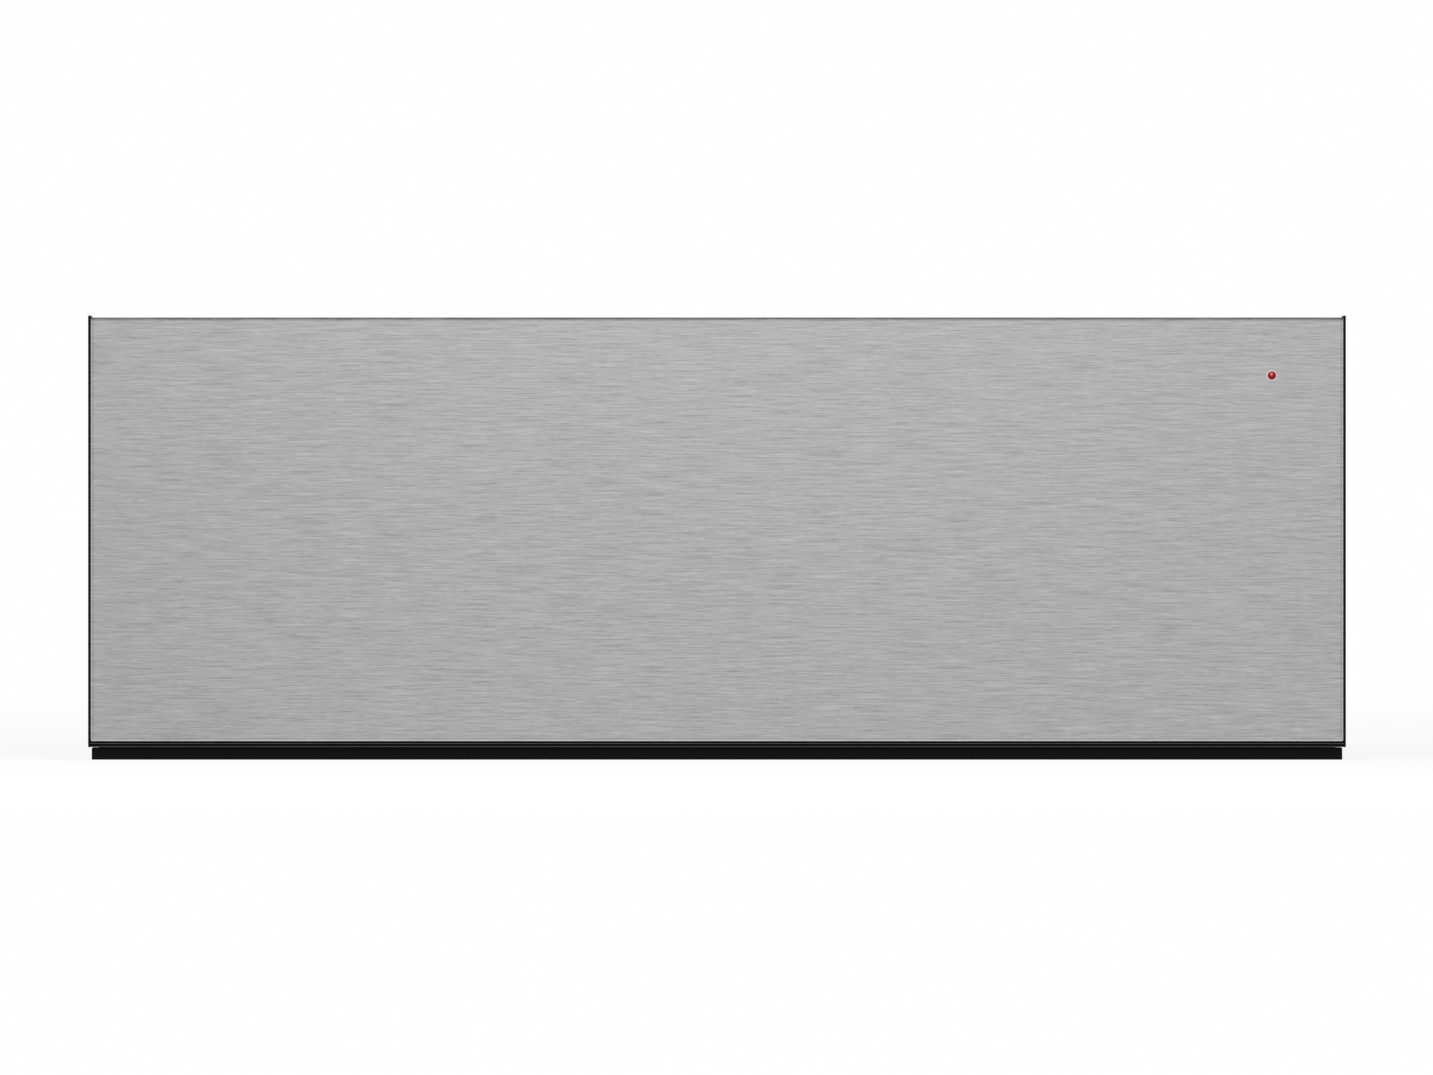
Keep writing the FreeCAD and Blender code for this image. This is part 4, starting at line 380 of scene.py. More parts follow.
finishes["print"] = skin("print", (0.72, 0.72, 0.71), 0.55, 0.0006, 0.00001, 0.2)
finishes["element_sheath"] = brushed("element_sheath", (0.20, 0.18, 0.165), 0.5, (0.02, 0.02, 0.02), 0.5)
print("finishes so far:", len(finishes))

# %% [markdown]
# The indicator is a little red dome, moulded in deep red plastic. Its rim is painted darker, as painted
# shade where the plastic is seen edge on, and a bright spot a little above the middle is a painted
# highlight, made to glow, where light from above would shine on the dome. The distance from two lines
# through the dome sets both, so they stay in place from every side.

# %% Lenses
lamp_low, lamp_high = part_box("indicator_lens")
lamp_centre = (lamp_low + lamp_high) / 2
LAMP_RADIUS = 2.4 * MM


def distance(finish, x, z):
    """How far the surface is from a line along Y."""
    dx = finish.along(0, (-x, 0, 0))
    dz = finish.along(2, (0, 0, -z))
    return (dx * dx + dz * dz).root()


def lens(name, centre, radius, middle, rim, highlight_colour):
    """A red dome, with a colour for its middle, a darker one for its rim as painted shade, and the colour
    of a painted highlight in it.
    """
    finish = Finish(name, Roughness=0.22, Specular_IOR_Level=0.12, Emission_Strength=1.0)
    # painted shade towards the rim
    rim_shade = distance(finish, centre.x, centre.z).between(0.62 * radius, 0.9 * radius)
    # painted highlight a little above the middle, made to glow
    from_highlight = distance(finish, centre.x - 0.1 * radius, centre.z + 0.34 * radius)
    highlight_mask = near(from_highlight, (0.15 * radius, 0.5 * radius))
    return finish.surface(
        Base_Color=finish.mix(rim_shade, middle, rim),
        Emission_Color=finish.mix(highlight_mask, (0.02, 0.0, 0.0), highlight_colour))


# colours: the middle, the rim's painted shade, and the painted highlight
finishes["red_lens"] = lens("red_lens", lamp_centre, LAMP_RADIUS,
                            (0.32, 0.003, 0.007), (0.14, 0.009, 0.011), (0.62, 0.20, 0.24))
# the ring's pink tint is painted red glow from the lamp
finishes["lamp_ring_red_glow"] = brushed("lamp_ring_red_glow", (0.86, 0.66, 0.65), 0.30, (0.002, 0.002, 0.002), 0.15)
finishes["clear_lens"] = skin("clear_lens", (0.60, 0.26, 0.06), 0.18, 0.0008, 0.00001, 0.5, 1.0)
print("lenses ready, lamp at", [round(c, 4) for c in lamp_centre])

# %% [markdown]
# A metal worker starts from a blank and bends, cuts and files it. The pieces below are made in the
# same way: a block, rod or ring is added at its place, and edit mode then extrudes, bevels or spins
# it. Operators act on whatever is selected, so the first helpers select one piece, open it for
# shaping, and pick its faces or edges by their place. Sizes are in millimetres, as on a drawing.

# %% Hand tools for selecting
def only(*pieces):
    """Selects these pieces and nothing else; the first one is active."""
    bpy.ops.object.select_all(action="DESELECT")
    for piece in pieces:
        piece.select_set(True)
    bpy.context.view_layer.objects.active = pieces[0]


@contextmanager
def shaping(piece):
    """Edit mode on one piece, with nothing selected in it."""
    only(piece)
    bpy.ops.object.mode_set(mode="EDIT")
    bpy.ops.mesh.select_all(action="DESELECT")
    yield piece
    bpy.ops.object.mode_set(mode="OBJECT")


def pick(piece, kind, wanted):
    """In edit mode, selects the FACE or EDGE elements that wanted() says yes to."""
    bpy.ops.mesh.select_all(action="DESELECT")
    bpy.ops.mesh.select_mode(type=kind)
    mesh = bmesh.from_edit_mesh(piece.data)
    chosen = [e for e in (mesh.faces if kind == "FACE" else mesh.edges) if wanted(e)]
    for element in chosen:
        element.select_set(True)
    mesh.select_flush_mode()
    bmesh.update_edit_mesh(piece.data)
    return len(chosen)


def runs_along(edge, axis):
    """The edge is straight along the axis."""
    return abs((edge.verts[0].co - edge.verts[1].co).normalized()[axis]) > 0.99


def lies_at(element, axis, place):
    """All of an edge or face is at this place along the axis, in millimetres."""
    return all(abs(v.co[axis] / MM - place) < 0.01 for v in element.verts)


print("selecting tools ready")

# %% [markdown]
# The blanks: a box between two corners, a round bar, and a turned shape. The turned shape grows its
# outline point by point from a single vertex and is then spun round its axis, as on a lathe.

# %% Blanks
X, Y, Z = 0, 1, 2
QUARTER = math.pi / 2
TURN_TO = {"z": (0, 0, 0), "x": (0, QUARTER, 0), "-x": (0, -QUARTER, 0),
           "y": (-QUARTER, 0, 0), "-y": (QUARTER, 0, 0)}


def span(node):
    """The lowest and highest corner of a CAD node, in millimetres."""
    low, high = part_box(node)
    return low / MM, high / MM


def settled(piece, name):
    """Names a piece and works its place and turn into its mesh."""
    piece.name = name
    bpy.ops.object.transform_apply()
    return piece


def block(name, low, high):
    """A box between two corners."""
    low, high = Vector(low) * MM, Vector(high) * MM
    bpy.ops.object.select_all(action="DESELECT")
    bpy.ops.mesh.primitive_cube_add(size=1, location=(low + high) / 2, scale=high - low)
    return settled(bpy.context.object, name)


def rod(name, centre, radius, length, axis="z", sides=48):
    """A round bar; centre is its middle."""
    bpy.ops.object.select_all(action="DESELECT")
    bpy.ops.mesh.primitive_cylinder_add(vertices=sides, radius=radius * MM, depth=length * MM,
                                        location=Vector(centre) * MM, rotation=TURN_TO[axis])
    return settled(bpy.context.object, name)


def outlined(name, outline):
    """A chain of vertices through the outline's points, in the XZ plane."""
    bpy.ops.object.select_all(action="DESELECT")
    first = outline[0]
    bpy.ops.mesh.primitive_plane_add(size=MM, location=(first[0] * MM, 0, first[1] * MM))
    piece = settled(bpy.context.object, name)
    with shaping(piece):
        bpy.ops.mesh.select_mode(type="VERT")
        bpy.ops.mesh.select_all(action="SELECT")
        bpy.ops.mesh.merge(type="CENTER")
        for last, here in zip(outline, outline[1:]):
            step = ((here[0] - last[0]) * MM, 0, (here[1] - last[1]) * MM)
            bpy.ops.mesh.extrude_vertices_move(TRANSFORM_OT_translate={"value": step})
    return piece


def closed(piece):
    """Merges doubled points and turns all faces outwards."""
    with shaping(piece):
        bpy.ops.mesh.select_all(action="SELECT")
        bpy.ops.mesh.remove_doubles(threshold=0.001 * MM)
        bpy.ops.mesh.normals_make_consistent(inside=False)
    return piece


def turned(name, outline, centre, axis="z", steps=48):
    """outline is a list of (radius, height) from the axis and back to it."""
    piece = outlined(name, outline)
    with shaping(piece):
        bpy.ops.mesh.select_all(action="SELECT")
        bpy.ops.mesh.spin(steps=steps, angle=2 * math.pi, center=(0, 0, 0), axis=(0, 0, 1))
    closed(piece)
    piece.rotation_euler = TURN_TO[axis]
    piece.location = Vector(centre) * MM
    return settled(piece, name)


print("blanks ready")

# %% [markdown]
# Modifiers do the work that repeats: booleans weld or cut, and a bevel breaks every sharp edge. No
# real edge is a perfect line, and the narrow bevel is what catches the light and makes sheet metal
# and mouldings look solid. A finished piece gets its finish, and rides on the body that carries it.

# %% Working and finishing
def modified(piece, kind, **settings):
    """Adds a modifier and applies it."""
    only(piece)
    modifier = piece.modifiers.new(kind.lower(), kind)
    for key, value in settings.items():
        setattr(modifier, key, value)
    bpy.ops.object.modifier_apply(modifier=modifier.name)
    return piece


def merged(piece, operation, others, solver):
    """Works the others into the piece, one after another, and removes them."""
    for other in others:
        modified(piece, "BOOLEAN", operation=operation, object=other, solver=solver)
        bpy.data.objects.remove(other)
    return piece


def cut(piece, *others, solver="EXACT"):
    return merged(piece, "DIFFERENCE", others, solver)


def welded(piece, *others, solver="EXACT"):
    """The MANIFOLD solver takes closed pieces only, and copes with faces that nearly touch."""
    return merged(piece, "UNION", others, solver)


def eased(piece, width, segments=2, angle=35):
    """Breaks every edge that is sharper than the angle."""
    return modified(piece, "BEVEL", width=width * MM, segments=segments, limit_method="ANGLE",
                    angle_limit=math.radians(angle), use_clamp_overlap=False, loop_slide=False)


def gathered(name, *pieces):
    """One object of several pieces."""
    only(*pieces)
    if len(pieces) > 1:
        bpy.ops.object.join()
    pieces[0].name = name
    return pieces[0]


def again(piece, x=0, y=0, z=0):
    """A copy with its own mesh, moved along."""
    only(piece)
    bpy.ops.object.duplicate(linked=False)
    twin = bpy.context.object
    twin.location = Vector((x, y, z)) * MM
    return settled(twin, piece.name)


def done(piece, slot, body, *nodes, angle=38):
    """Smooths the shading, gives the finish, joins the piece to its body, and hides its CAD nodes.

    A piece that joins two bodies has None for its body here, and rides on neither."""
    only(piece)
    bpy.ops.object.shade_smooth_by_angle(angle=math.radians(angle))
    modified(piece, "WEIGHTED_NORMAL", keep_sharp=True)
    piece.data.materials.clear()
    piece.data.materials.append(finishes[slot])
    if body:
        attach(piece, body)
    if nodes:
        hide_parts(*nodes)
    print(piece.name, "has", len(piece.data.polygons), "faces")
    return piece


slot_of = {part["node"]: part["material_slot"] for part in frame["record"]["subparts"]}
body_of = {node: body for body, nodes in frame["record"]["behaviour"]["bodies"].items() for node in nodes}


def blank_of(node):
    """A merged copy of a CAD node's mesh, to be worked further."""
    piece = bpy.data.objects.new(node + "_eased", frame["nodes"][node].data.copy())
    bpy.context.scene.collection.objects.link(piece)
    with shaping(piece):
        bpy.ops.mesh.select_all(action="SELECT")
        bpy.ops.mesh.remove_doubles(threshold=0.001 * MM)
        bpy.ops.mesh.dissolve_limited(angle_limit=math.radians(0.5))
    return piece


print("working tools ready")

# %% [markdown]
# Each CAD node takes the finish of the slot that the record gives it. Pieces that are modelled
# further down hide the node that they stand for.

# %% Finish the CAD nodes
for name, node in frame["nodes"].items():
    node.material_slots[0].material = finishes[slot_of[name]]
print("finished", len(slot_of), "CAD nodes")

# %% [markdown]
# The front is one sheet of steel, 1 mm thick, folded back along all four edges over a small radius.
# A block without its back is the folded sheet's outside. Its corners and front edges are bevelled
# into the fold in one go, so that they meet in a rounded corner, and Solidify gives the sheet its
# thickness. A rod then cuts the lamp's hole.

# %% Steel front
FACE_SHEET = 1.0
FOLD_RADIUS = 1.3
LAMP_HOLE = 2.5                    # radius
low, high = span("front_skin")
front = block("steel_front", low, high)
with shaping(front):
    pick(front, "FACE", lambda face: face.normal.y > 0.9)
    bpy.ops.mesh.delete(type="FACE")
    pick(front, "EDGE", lambda edge: runs_along(edge, Y) or lies_at(edge, Y, low.y))
    bpy.ops.mesh.bevel(offset=FOLD_RADIUS * MM, segments=5, affect="EDGES")
modified(front, "SOLIDIFY", thickness=FACE_SHEET * MM, offset=-1, use_even_offset=True)
lamp = lamp_centre / MM            # the lamp's middle, in millimetres like the rest
cut(front, rod("lamp_hole", (lamp.x, low.y, lamp.z), LAMP_HOLE, 6 * FACE_SHEET, "y"))
done(front, "brushed_front", "drawer", "front_skin")

# %% [markdown]
# Each side of the front has a black strip beside the steel, a little higher than the steel and a
# little behind its face. One is made, with its outer edges broken, and Mirror makes the other.

# %% Side trims
TRIM_EDGE = 0.3                    # how wide the edges are broken
low, high = span("front_side_trims")
steel_edge = span("front_skin")[1].x
trim = block("side_trims", (steel_edge, low.y, low.z), high)


def shows_in_front(edge):
    """The trim's front edges that nothing covers: the outer one and the top one."""
    return lies_at(edge, Y, low.y) and (lies_at(edge, X, high.x) or lies_at(edge, Z, high.z))


with shaping(trim):
    pick(trim, "EDGE", shows_in_front)
    bpy.ops.mesh.bevel(offset=TRIM_EDGE * MM, segments=3, affect="EDGES")
modified(trim, "MIRROR", use_axis=(True, False, False))
done(trim, "black_trim", "drawer", "front_side_trims")

# %% [markdown]
# The lip under the steel is an extruded strip with two fine ribs along its face. Its section is drawn point
# by point, filled, and drawn out along the front. The grooves are deep, so that they stay dark, while the
# round noses of the ribs catch some light; the noses also get a glossier copy of the black trim, whose
# lighter colour is a painted highlight.

# %% Bottom lip
low, high = span("front_bottom_lip")
RIBS = (low.z + 0.3, low.z + 2.15)     # the height of each rib's middle
NOSE = 0.3                             # radius of its nose
GROOVE = 1.6                           # depth of the grooves behind the noses
root = low.y + GROOVE


def rib_outline(middle):
    """Half-round nose of a rib, from below to above: points of (depth, height)."""
    arc = [(low.y + NOSE * (1 - math.cos(turn)), middle + NOSE * math.sin(turn))
           for turn in map(math.radians, (-80, -45, 0, 45, 80))]
    return [(root, middle - NOSE + 0.01), *arc, (root, middle + NOSE - 0.01)]


lip = outlined("bottom_lip", [(high.y, low.z), *rib_outline(RIBS[0]), *rib_outline(RIBS[1]),
                              (root, high.z), (high.y, high.z)])
with shaping(lip):
    bpy.ops.mesh.select_all(action="SELECT")
    bpy.ops.mesh.edge_face_add()
    bpy.ops.mesh.select_all(action="SELECT")
    bpy.ops.mesh.extrude_region_move(TRANSFORM_OT_translate={"value": (0, (high.x - low.x) * MM, 0)})
closed(lip)
lip.rotation_euler = (0, 0, math.radians(90))
lip.location = (high.x * MM, 0, 0)
settled(lip, "bottom_lip")
done(lip, "black_trim", "drawer", "front_bottom_lip")
# the rib noses take the lighter copy: a painted highlight over their real gloss
lip.data.materials.append(finishes["rib_gloss_highlight"])
for face in lip.data.polygons:
    face.material_index = int(face.center.y / MM < low.y + NOSE + 0.05)
print("glossy rib faces:", sum(face.material_index for face in lip.data.polygons))

# %% [markdown]
# The lamp is a turned dome of red plastic, with a flange behind the steel and a stem in its holder.
# The outline is drawn from the middle of the dome outwards and back to the stem's end. A thin bright ring
# round it covers the edge of the hole, and its pink tint is painted red glow from the lamp.

# %% Indicator lens
DOME = [(0, 0.6), (0.5, 0.57), (1.0, 0.49), (1.5, 0.35), (1.9, 0.2), (2.2, 0.04), (2.34, -0.12),
        (2.4, -0.4)]
STEM = [(2.4, -1), (3.75, -1), (3.75, -2), (2.4, -2), (2.4, -7), (0, -7)]
RING = [(2.45, -0.6), (2.45, 0.18), (2.62, 0.34), (2.9, 0.34), (3.12, 0.2), (3.2, 0), (3.2, -0.02),
        (2.5, -0.6), (2.45, -0.6)]
lamp_place = (lamp.x, span("front_skin")[0].y, lamp.z)
lens_piece = turned("lamp_lens", DOME + STEM, lamp_place, "-y", 40)
done(lens_piece, "red_lens", "drawer", "indicator_lens")
bezel = turned("lamp_bezel", RING, lamp_place, "-y", 40)
done(bezel, "bearing_steel", "drawer")
bezel.data.materials[0] = finishes["lamp_ring_red_glow"]

# %% [markdown]
# The cabinet's large sheets are stiffened by stamped beads, long raised ribs with round ends. A bead
# is a block whose corners are bevelled into half circles. Its top is drawn in, which gives the bead
# the sloping sides that catch the light, and its rim is rounded. It is welded to a copy of the CAD
# sheet, and then all the sharp edges are broken.

# %% Beads
BEAD_HEIGHT = 2.6
BEAD_SLOPE = 3.6                   # how far the sides lean in
BEAD_RIM = 1.0                     # how wide the edge between top and sides is rounded
SUNK = 0.3                         # how far a bead's foot goes into the sheet
SHEET_EDGE = 0.22                  # how wide the sheets' edges are broken


def bead(low, high, normal, outer):
    """A round-ended rib; normal is the sheet's axis and outer the place of the rib's top along it."""
    piece = block("bead", low, high)
    sizes = [high[i] - low[i] for i in (X, Y, Z)]
    width = min(size for i, size in enumerate(sizes) if i != normal)
    drawn_in = [1 if i == normal else 1 - 2 * BEAD_SLOPE / size for i, size in enumerate(sizes)]
    middle = (Vector(low) + Vector(high)) / 2 * MM
    with shaping(piece):
        pick(piece, "EDGE", lambda edge: runs_along(edge, normal))
        bpy.ops.mesh.bevel(offset=0.49 * width * MM, segments=8, affect="EDGES")
        pick(piece, "FACE", lambda face: lies_at(face, normal, outer))
        bpy.ops.transform.resize(value=drawn_in, center_override=middle)
        pick(piece, "EDGE", lambda edge: lies_at(edge, normal, outer))
        bpy.ops.mesh.bevel(offset=BEAD_RIM * MM, segments=3, affect="EDGES")
    return piece


def beaded(node, normal, outwards, beads):
    """A CAD sheet with beads on its outside; each bead is its two ranges along the sheet's axes."""
    sheet = blank_of(node)
    face = span(node)[1 if outwards > 0 else 0][normal]
    foot, top = face - outwards * SUNK, face + outwards * BEAD_HEIGHT
    for ranges in beads:
        low, high = zip(*ranges[:normal], (min(foot, top), max(foot, top)), *ranges[normal:])
        welded(sheet, bead(low, high, normal, top))
    return eased(sheet, SHEET_EDGE)


print("bead tools ready")

# %% [markdown]
# The top cover has five beads from front to back, and each wall has three along it. The back has one
# right across its middle. A shorter one below leaves room for the terminals, and the three at the
# top leave room for the vents.

# %% Beaded sheets
TOP_BEAD, BEAD = 11, 9             # half the width of a bead on the top cover, and elsewhere
TOP_BEADS, TOP_ENDS = (-260, -130, 0, 130, 260), (-205, 218)      # across, and from front to back
WALL_BEADS, WALL_ENDS = (30, 118, 206), (-215, 150)               # heights, and from front to back
BACK_BEADS = ((-325, 325, 118), (-325, 165, 34), (-325, -240, 200), (-112, 112, 200), (240, 325, 200))

cover = beaded("top_cover", Z, 1, [((x - TOP_BEAD, x + TOP_BEAD), TOP_ENDS) for x in TOP_BEADS])
done(cover, "galvanised", "cabinet", "top_cover")
for node, side in (("side_wall_left", -1), ("side_wall_right", 1)):
    wall = beaded(node, X, side, [(WALL_ENDS, (z - BEAD, z + BEAD)) for z in WALL_BEADS])
    done(wall, "galvanised", "cabinet", node)
back = beaded("back_panel", Y, 1, [((x0, x1), (z - BEAD, z + BEAD)) for x0, x1, z in BACK_BEADS])
done(back, "galvanised", "cabinet", "back_panel")

# %% [markdown]
# The sheets are joined to each other by spot welds, where two electrodes press them together and
# leave a shallow dimple with a raised rim. The zinc burns off there, so the mark is darker and duller
# than the sheet. One is turned for each side it faces, and copied along the cabinet's flanges.

# %% Spot welds
DIMPLE = [(0, -0.06), (1.3, -0.03), (1.9, 0.14), (2.4, 0.18), (2.9, 0.02), (2.9, -0.3), (0, -0.3)]
WELD_PITCH = 50.0
SIDE_WELDS, BACK_WELDS = 10, 13    # in each row
FIRST_SIDE_WELD, FIRST_BACK_WELD = -232, -300      # how far back, and how far across
cabinet_low, cabinet_high = span("side_wall_left")[0], span("side_wall_right")[1]
lower_row, upper_row = cabinet_low.z + 6.5, cabinet_high.z - 7


def weld_rows(x, y, facing, along, count):
    """Two rows of welds on one sheet, which start at x and y and run along an axis."""
    first = turned("weld", DIMPLE, (x, y, lower_row), facing, 12)
    moves = [(WELD_PITCH * i * (along == X), WELD_PITCH * i * (along == Y), rise)
             for rise in (0, upper_row - lower_row) for i in range(count)]
    return [first] + [again(first, *move) for move in moves[1:]]


welds = weld_rows(-cabinet_high.x, FIRST_SIDE_WELD, "-x", Y, SIDE_WELDS)
welds += weld_rows(cabinet_high.x, FIRST_SIDE_WELD, "x", Y, SIDE_WELDS)
welds += weld_rows(FIRST_BACK_WELD, span("back_panel")[1].y, "y", X, BACK_WELDS)
finishes["burnt_zinc"] = brushed("burnt_zinc", (0.24, 0.24, 0.245), 0.52, (0.0015, 0.0015, 0.0015), 0.6)
spots = done(gathered("spot_welds", *welds), "galvanised", "cabinet")
spots.data.materials[0] = finishes["burnt_zinc"]

# %% [markdown]
# The other sheets and mouldings have their shape already. They only need what the press or the mould
# leaves: edges that are broken, narrow on sheet metal and wider on mouldings.

# %% Eased sheets and mouldings
EASED = {                          # the width of the broken edge, and the nodes that have it
    0.2: ("cabinet_frame", "frame_collar", "base_pan", "heat_shield", "front_inner_panel", "drawer_sides",
          "drawer_floor_pan", "drawer_front_wall", "drawer_rear_wall", "fan_housing", "rail_outer_members",
          "rail_middle_members", "rail_inner_members", "latch_strikers"),
    0.35: ("control_fascia", "power_module_case", "latch_housings", "glass_plate", "terminal_block"),
    0.6: ("junction_box", "cable_gland"),
}
for width, nodes in EASED.items():
    for node in nodes:
        done(eased(blank_of(node), width), slot_of[node], body_of[node], node)

# %% [markdown]
# The cover over the mains terminals is a moulding of its own. Its face gets a row of shallow grooves,
# which stiffen it and keep it from sinking as it cools. They are cut before its edges are rounded.

# %% Terminal cover
GROOVES, GROOVE_PITCH = 5, 6.0
FIRST_GROOVE = 14.0                # below the cover's top
GROOVE_DEPTH, GROOVE_HALF = 0.8, 1.1
GROOVE_MARGIN = 22.0               # what each groove leaves free at its ends
low, high = span("terminal_cover")
cover = blank_of("terminal_cover")
for i in range(GROOVES):
    z = high.z - FIRST_GROOVE - GROOVE_PITCH * i
    cut(cover, block("groove", (low.x + GROOVE_MARGIN, high.y - GROOVE_DEPTH, z - GROOVE_HALF),
                     (high.x - GROOVE_MARGIN, high.y + 1, z + GROOVE_HALF)))
done(eased(cover, 0.3), "black_plastic", "cabinet", "terminal_cover")

# %% [markdown]
# The strip under the front is a folded sheet. A low drip edge along it closes the gap below the lip
# to the eye, and still leaves the lip room to pass.

# %% Base strip
DRIP_HEIGHT, DRIP_WIDTH = 0.42, 2.0
DRIP_ENDS, DRIP_BACK = 0.5, 0.6    # what it leaves free at the strip's ends and front
low, high = span("base_strip")
strip = blank_of("base_strip")
drip_y = low.y + DRIP_BACK
welded(strip, block("drip_edge", (low.x + DRIP_ENDS, drip_y, high.z - SUNK),
                    (high.x - DRIP_ENDS, drip_y + DRIP_WIDTH, high.z + DRIP_HEIGHT)))
done(eased(strip, 0.12), "black_steel", "cabinet", "base_strip")

# %% [markdown]
# The four feet are moulded in rubber: a tread at the bottom, a hollow inside it, a waist, and the
# stem that is pushed through the base pan. They are round, so one outline is turned and copied.

# %% Feet
TREAD = [(0, 1.6), (6.2, 1.6), (7.0, 0.5), (7.6, 0), (11.4, 0), (12.4, 0.4), (13, 1.4), (13, 3.0),
         (12.4, 3.6), (12.4, 4.6), (13, 5.2), (13, 6.4), (12.5, 7)]
FEET_APART = (624, 430)            # from foot to foot, across and from front to back
low, high = span("feet")
foot_stem = [(4, 7), (4, high.z - 1), (3, high.z), (0, high.z)]
front_right = (FEET_APART[0] / 2, (low.y + high.y - FEET_APART[1]) / 2, 0)
first_foot = turned("foot", TREAD + foot_stem, front_right, "z", 40)
feet = [first_foot] + [again(first_foot, -across, back)
                       for across, back in ((FEET_APART[0], 0), (0, FEET_APART[1]), FEET_APART)]
done(gathered("rubber_feet", *feet), "black_rubber", "cabinet", "feet")

# %% [markdown]
# The knob is turned first, and its rim is then fluted for grip: every second upright edge of the
# rim is squeezed towards the axis. A bar with rounded corners stands across it, hollowed at both
# sides for the fingers. Its top edge is broken before the hollows are made, because a bevel that
# meets their sloping edges would throw its corners out.

# %% Selector knob
low, high = span("selector_knob")
knob_x, knob_y = (low.x + high.x) / 2, (low.y + high.y) / 2
BAR_WIDTH, BAR_LENGTH = 8.8, 30.0
BAR_CORNER, BAR_TOP = 2.6, 0.7     # how wide its upright edges and its top edge are rounded
HOLLOW = ((1.0, 0.80), (0.9, 0.86), (0.8, 0.95))      # each step inwards, and its squeeze to the axis
SKIRT = 11.0                       # the bar's top over the skirt's underside
RIM_RADIUS = 17.0
FLUTES, FLUTE_SQUEEZE = 36, 0.965
base_z = high.z - SKIRT
shaft_end = low.z - base_z
SKIRT_OUTLINE = [(0, shaft_end), (3, shaft_end), (3, 0), (16.5, 0), (RIM_RADIUS, 0.4), (RIM_RADIUS, 3.2),
                 (16.6, 3.9), (15.8, 4.3), (14.8, 4.4), (0, 4.4)]
knob = turned("selector", SKIRT_OUTLINE, (knob_x, knob_y, base_z), "z", 2 * FLUTES)
axis = Vector((knob_x, knob_y, 0)) * MM


def on_flute(edge):
    """An upright edge of the rim that lies at the bottom of a flute."""
    spoke = (edge.verts[0].co + edge.verts[1].co) / 2 - axis
    turn = round(math.degrees(math.atan2(spoke.y, spoke.x)) / (180 / FLUTES))
    at_rim = Vector((spoke.x, spoke.y)).length > (RIM_RADIUS - 0.1) * MM and spoke.z > base_z * MM
    return at_rim and runs_along(edge, Z) and turn % 2 == 0


with shaping(knob):
    print("flutes:", pick(knob, "EDGE", on_flute))
    bpy.ops.transform.resize(value=(FLUTE_SQUEEZE, FLUTE_SQUEEZE, 1), center_override=axis)

grip = block("grip_bar", (knob_x - BAR_WIDTH / 2, knob_y - BAR_LENGTH / 2, base_z + 4),
             (knob_x + BAR_WIDTH / 2, knob_y + BAR_LENGTH / 2, high.z))
with shaping(grip):
    pick(grip, "EDGE", lambda edge: runs_along(edge, Z))
    bpy.ops.mesh.bevel(offset=BAR_CORNER * MM, segments=6, affect="EDGES")
    pick(grip, "EDGE", lambda edge: lies_at(edge, Z, high.z))
    bpy.ops.mesh.bevel(offset=BAR_TOP * MM, segments=3, affect="EDGES")
    pick(grip, "FACE", lambda face: abs(face.normal.x) > 0.999)
    for inset, squeeze in HOLLOW:
        bpy.ops.mesh.inset(thickness=inset * MM, use_individual=True)
        bpy.ops.transform.resize(value=(squeeze, 1, 1), center_override=axis)
done(welded(knob, grip, solver="MANIFOLD"), "black_plastic", "selector", "selector_knob")

# %% [markdown]
# The power button is a turned cap with a slightly dished top, on a stem. The level lamps are turned
# as well: one low dome with a foot that stands on the circuit board, copied along the row.

# %% Button and level lamps
low, high = span("power_button")
button_x, button_y = (low.x + high.x) / 2, (low.y + high.y) / 2
DISH = 0.42                        # how deep the top is dished where the sign stands
CAP = [(0, -7.6), (2, -7.6), (2, -5.5), (7.3, -5.5), (7.5, -5.2), (7.5, -0.9), (7.3, -0.35),
       (6.8, -0.05), (6.2, 0), (5.4, -0.15), (4.2, -0.32), (2.4, -DISH), (0, -0.45)]
button = turned("power_key", CAP, (button_x, button_y, high.z), "z", 48)
done(button, "black_plastic", "button", "power_button")

low, high = span("level_lamps")
LAMPS, LAMP_PITCH = 4, 11.0
LAMP_FOOT = 2.3                    # radius
DOT = [(0, 0.3), (0.6, 0.26), (1.1, 0.12), (1.4, -0.12), (1.5, -0.4), (1.5, -2.5), (LAMP_FOOT, -2.5),
       (LAMP_FOOT, -11), (0, -11)]
row_x, row_y = low.x + LAMP_FOOT, (low.y + high.y) / 2
first_dot = turned("level_lamp", DOT, (row_x, row_y, high.z), "z", 24)
dots = [first_dot] + [again(first_dot, i * LAMP_PITCH) for i in range(1, LAMPS)]
done(gathered("level_lights", *dots), "clear_lens", "drawer", "level_lamps")

# %% [markdown]
# The marks on the strip are printed: numbers for the knob and the lamps, three waves that mean
# warmth, and a line on the knob that points to the chosen level. Numbers start as text, become a
# mesh, and are then put in place. The ink is a few hundredths of a millimetre thick, so it stands on
# the plastic as print does.

# %% Printed marks
INK = 0.03
fascia_top = span("control_fascia")[1].z


def number(text, x, y, z, size):
    """A printed number with its middle at a place."""
    bpy.ops.object.select_all(action="DESELECT")
    bpy.ops.object.text_add(location=Vector((x, y, z)) * MM)
    label = bpy.context.object
    label.data.body = text
    label.data.align_x, label.data.align_y = "CENTER", "CENTER"
    label.data.size = size * MM
    label.data.extrude = INK * MM
    bpy.ops.object.convert(target="MESH")
    return closed(settled(bpy.context.object, "number_" + text))


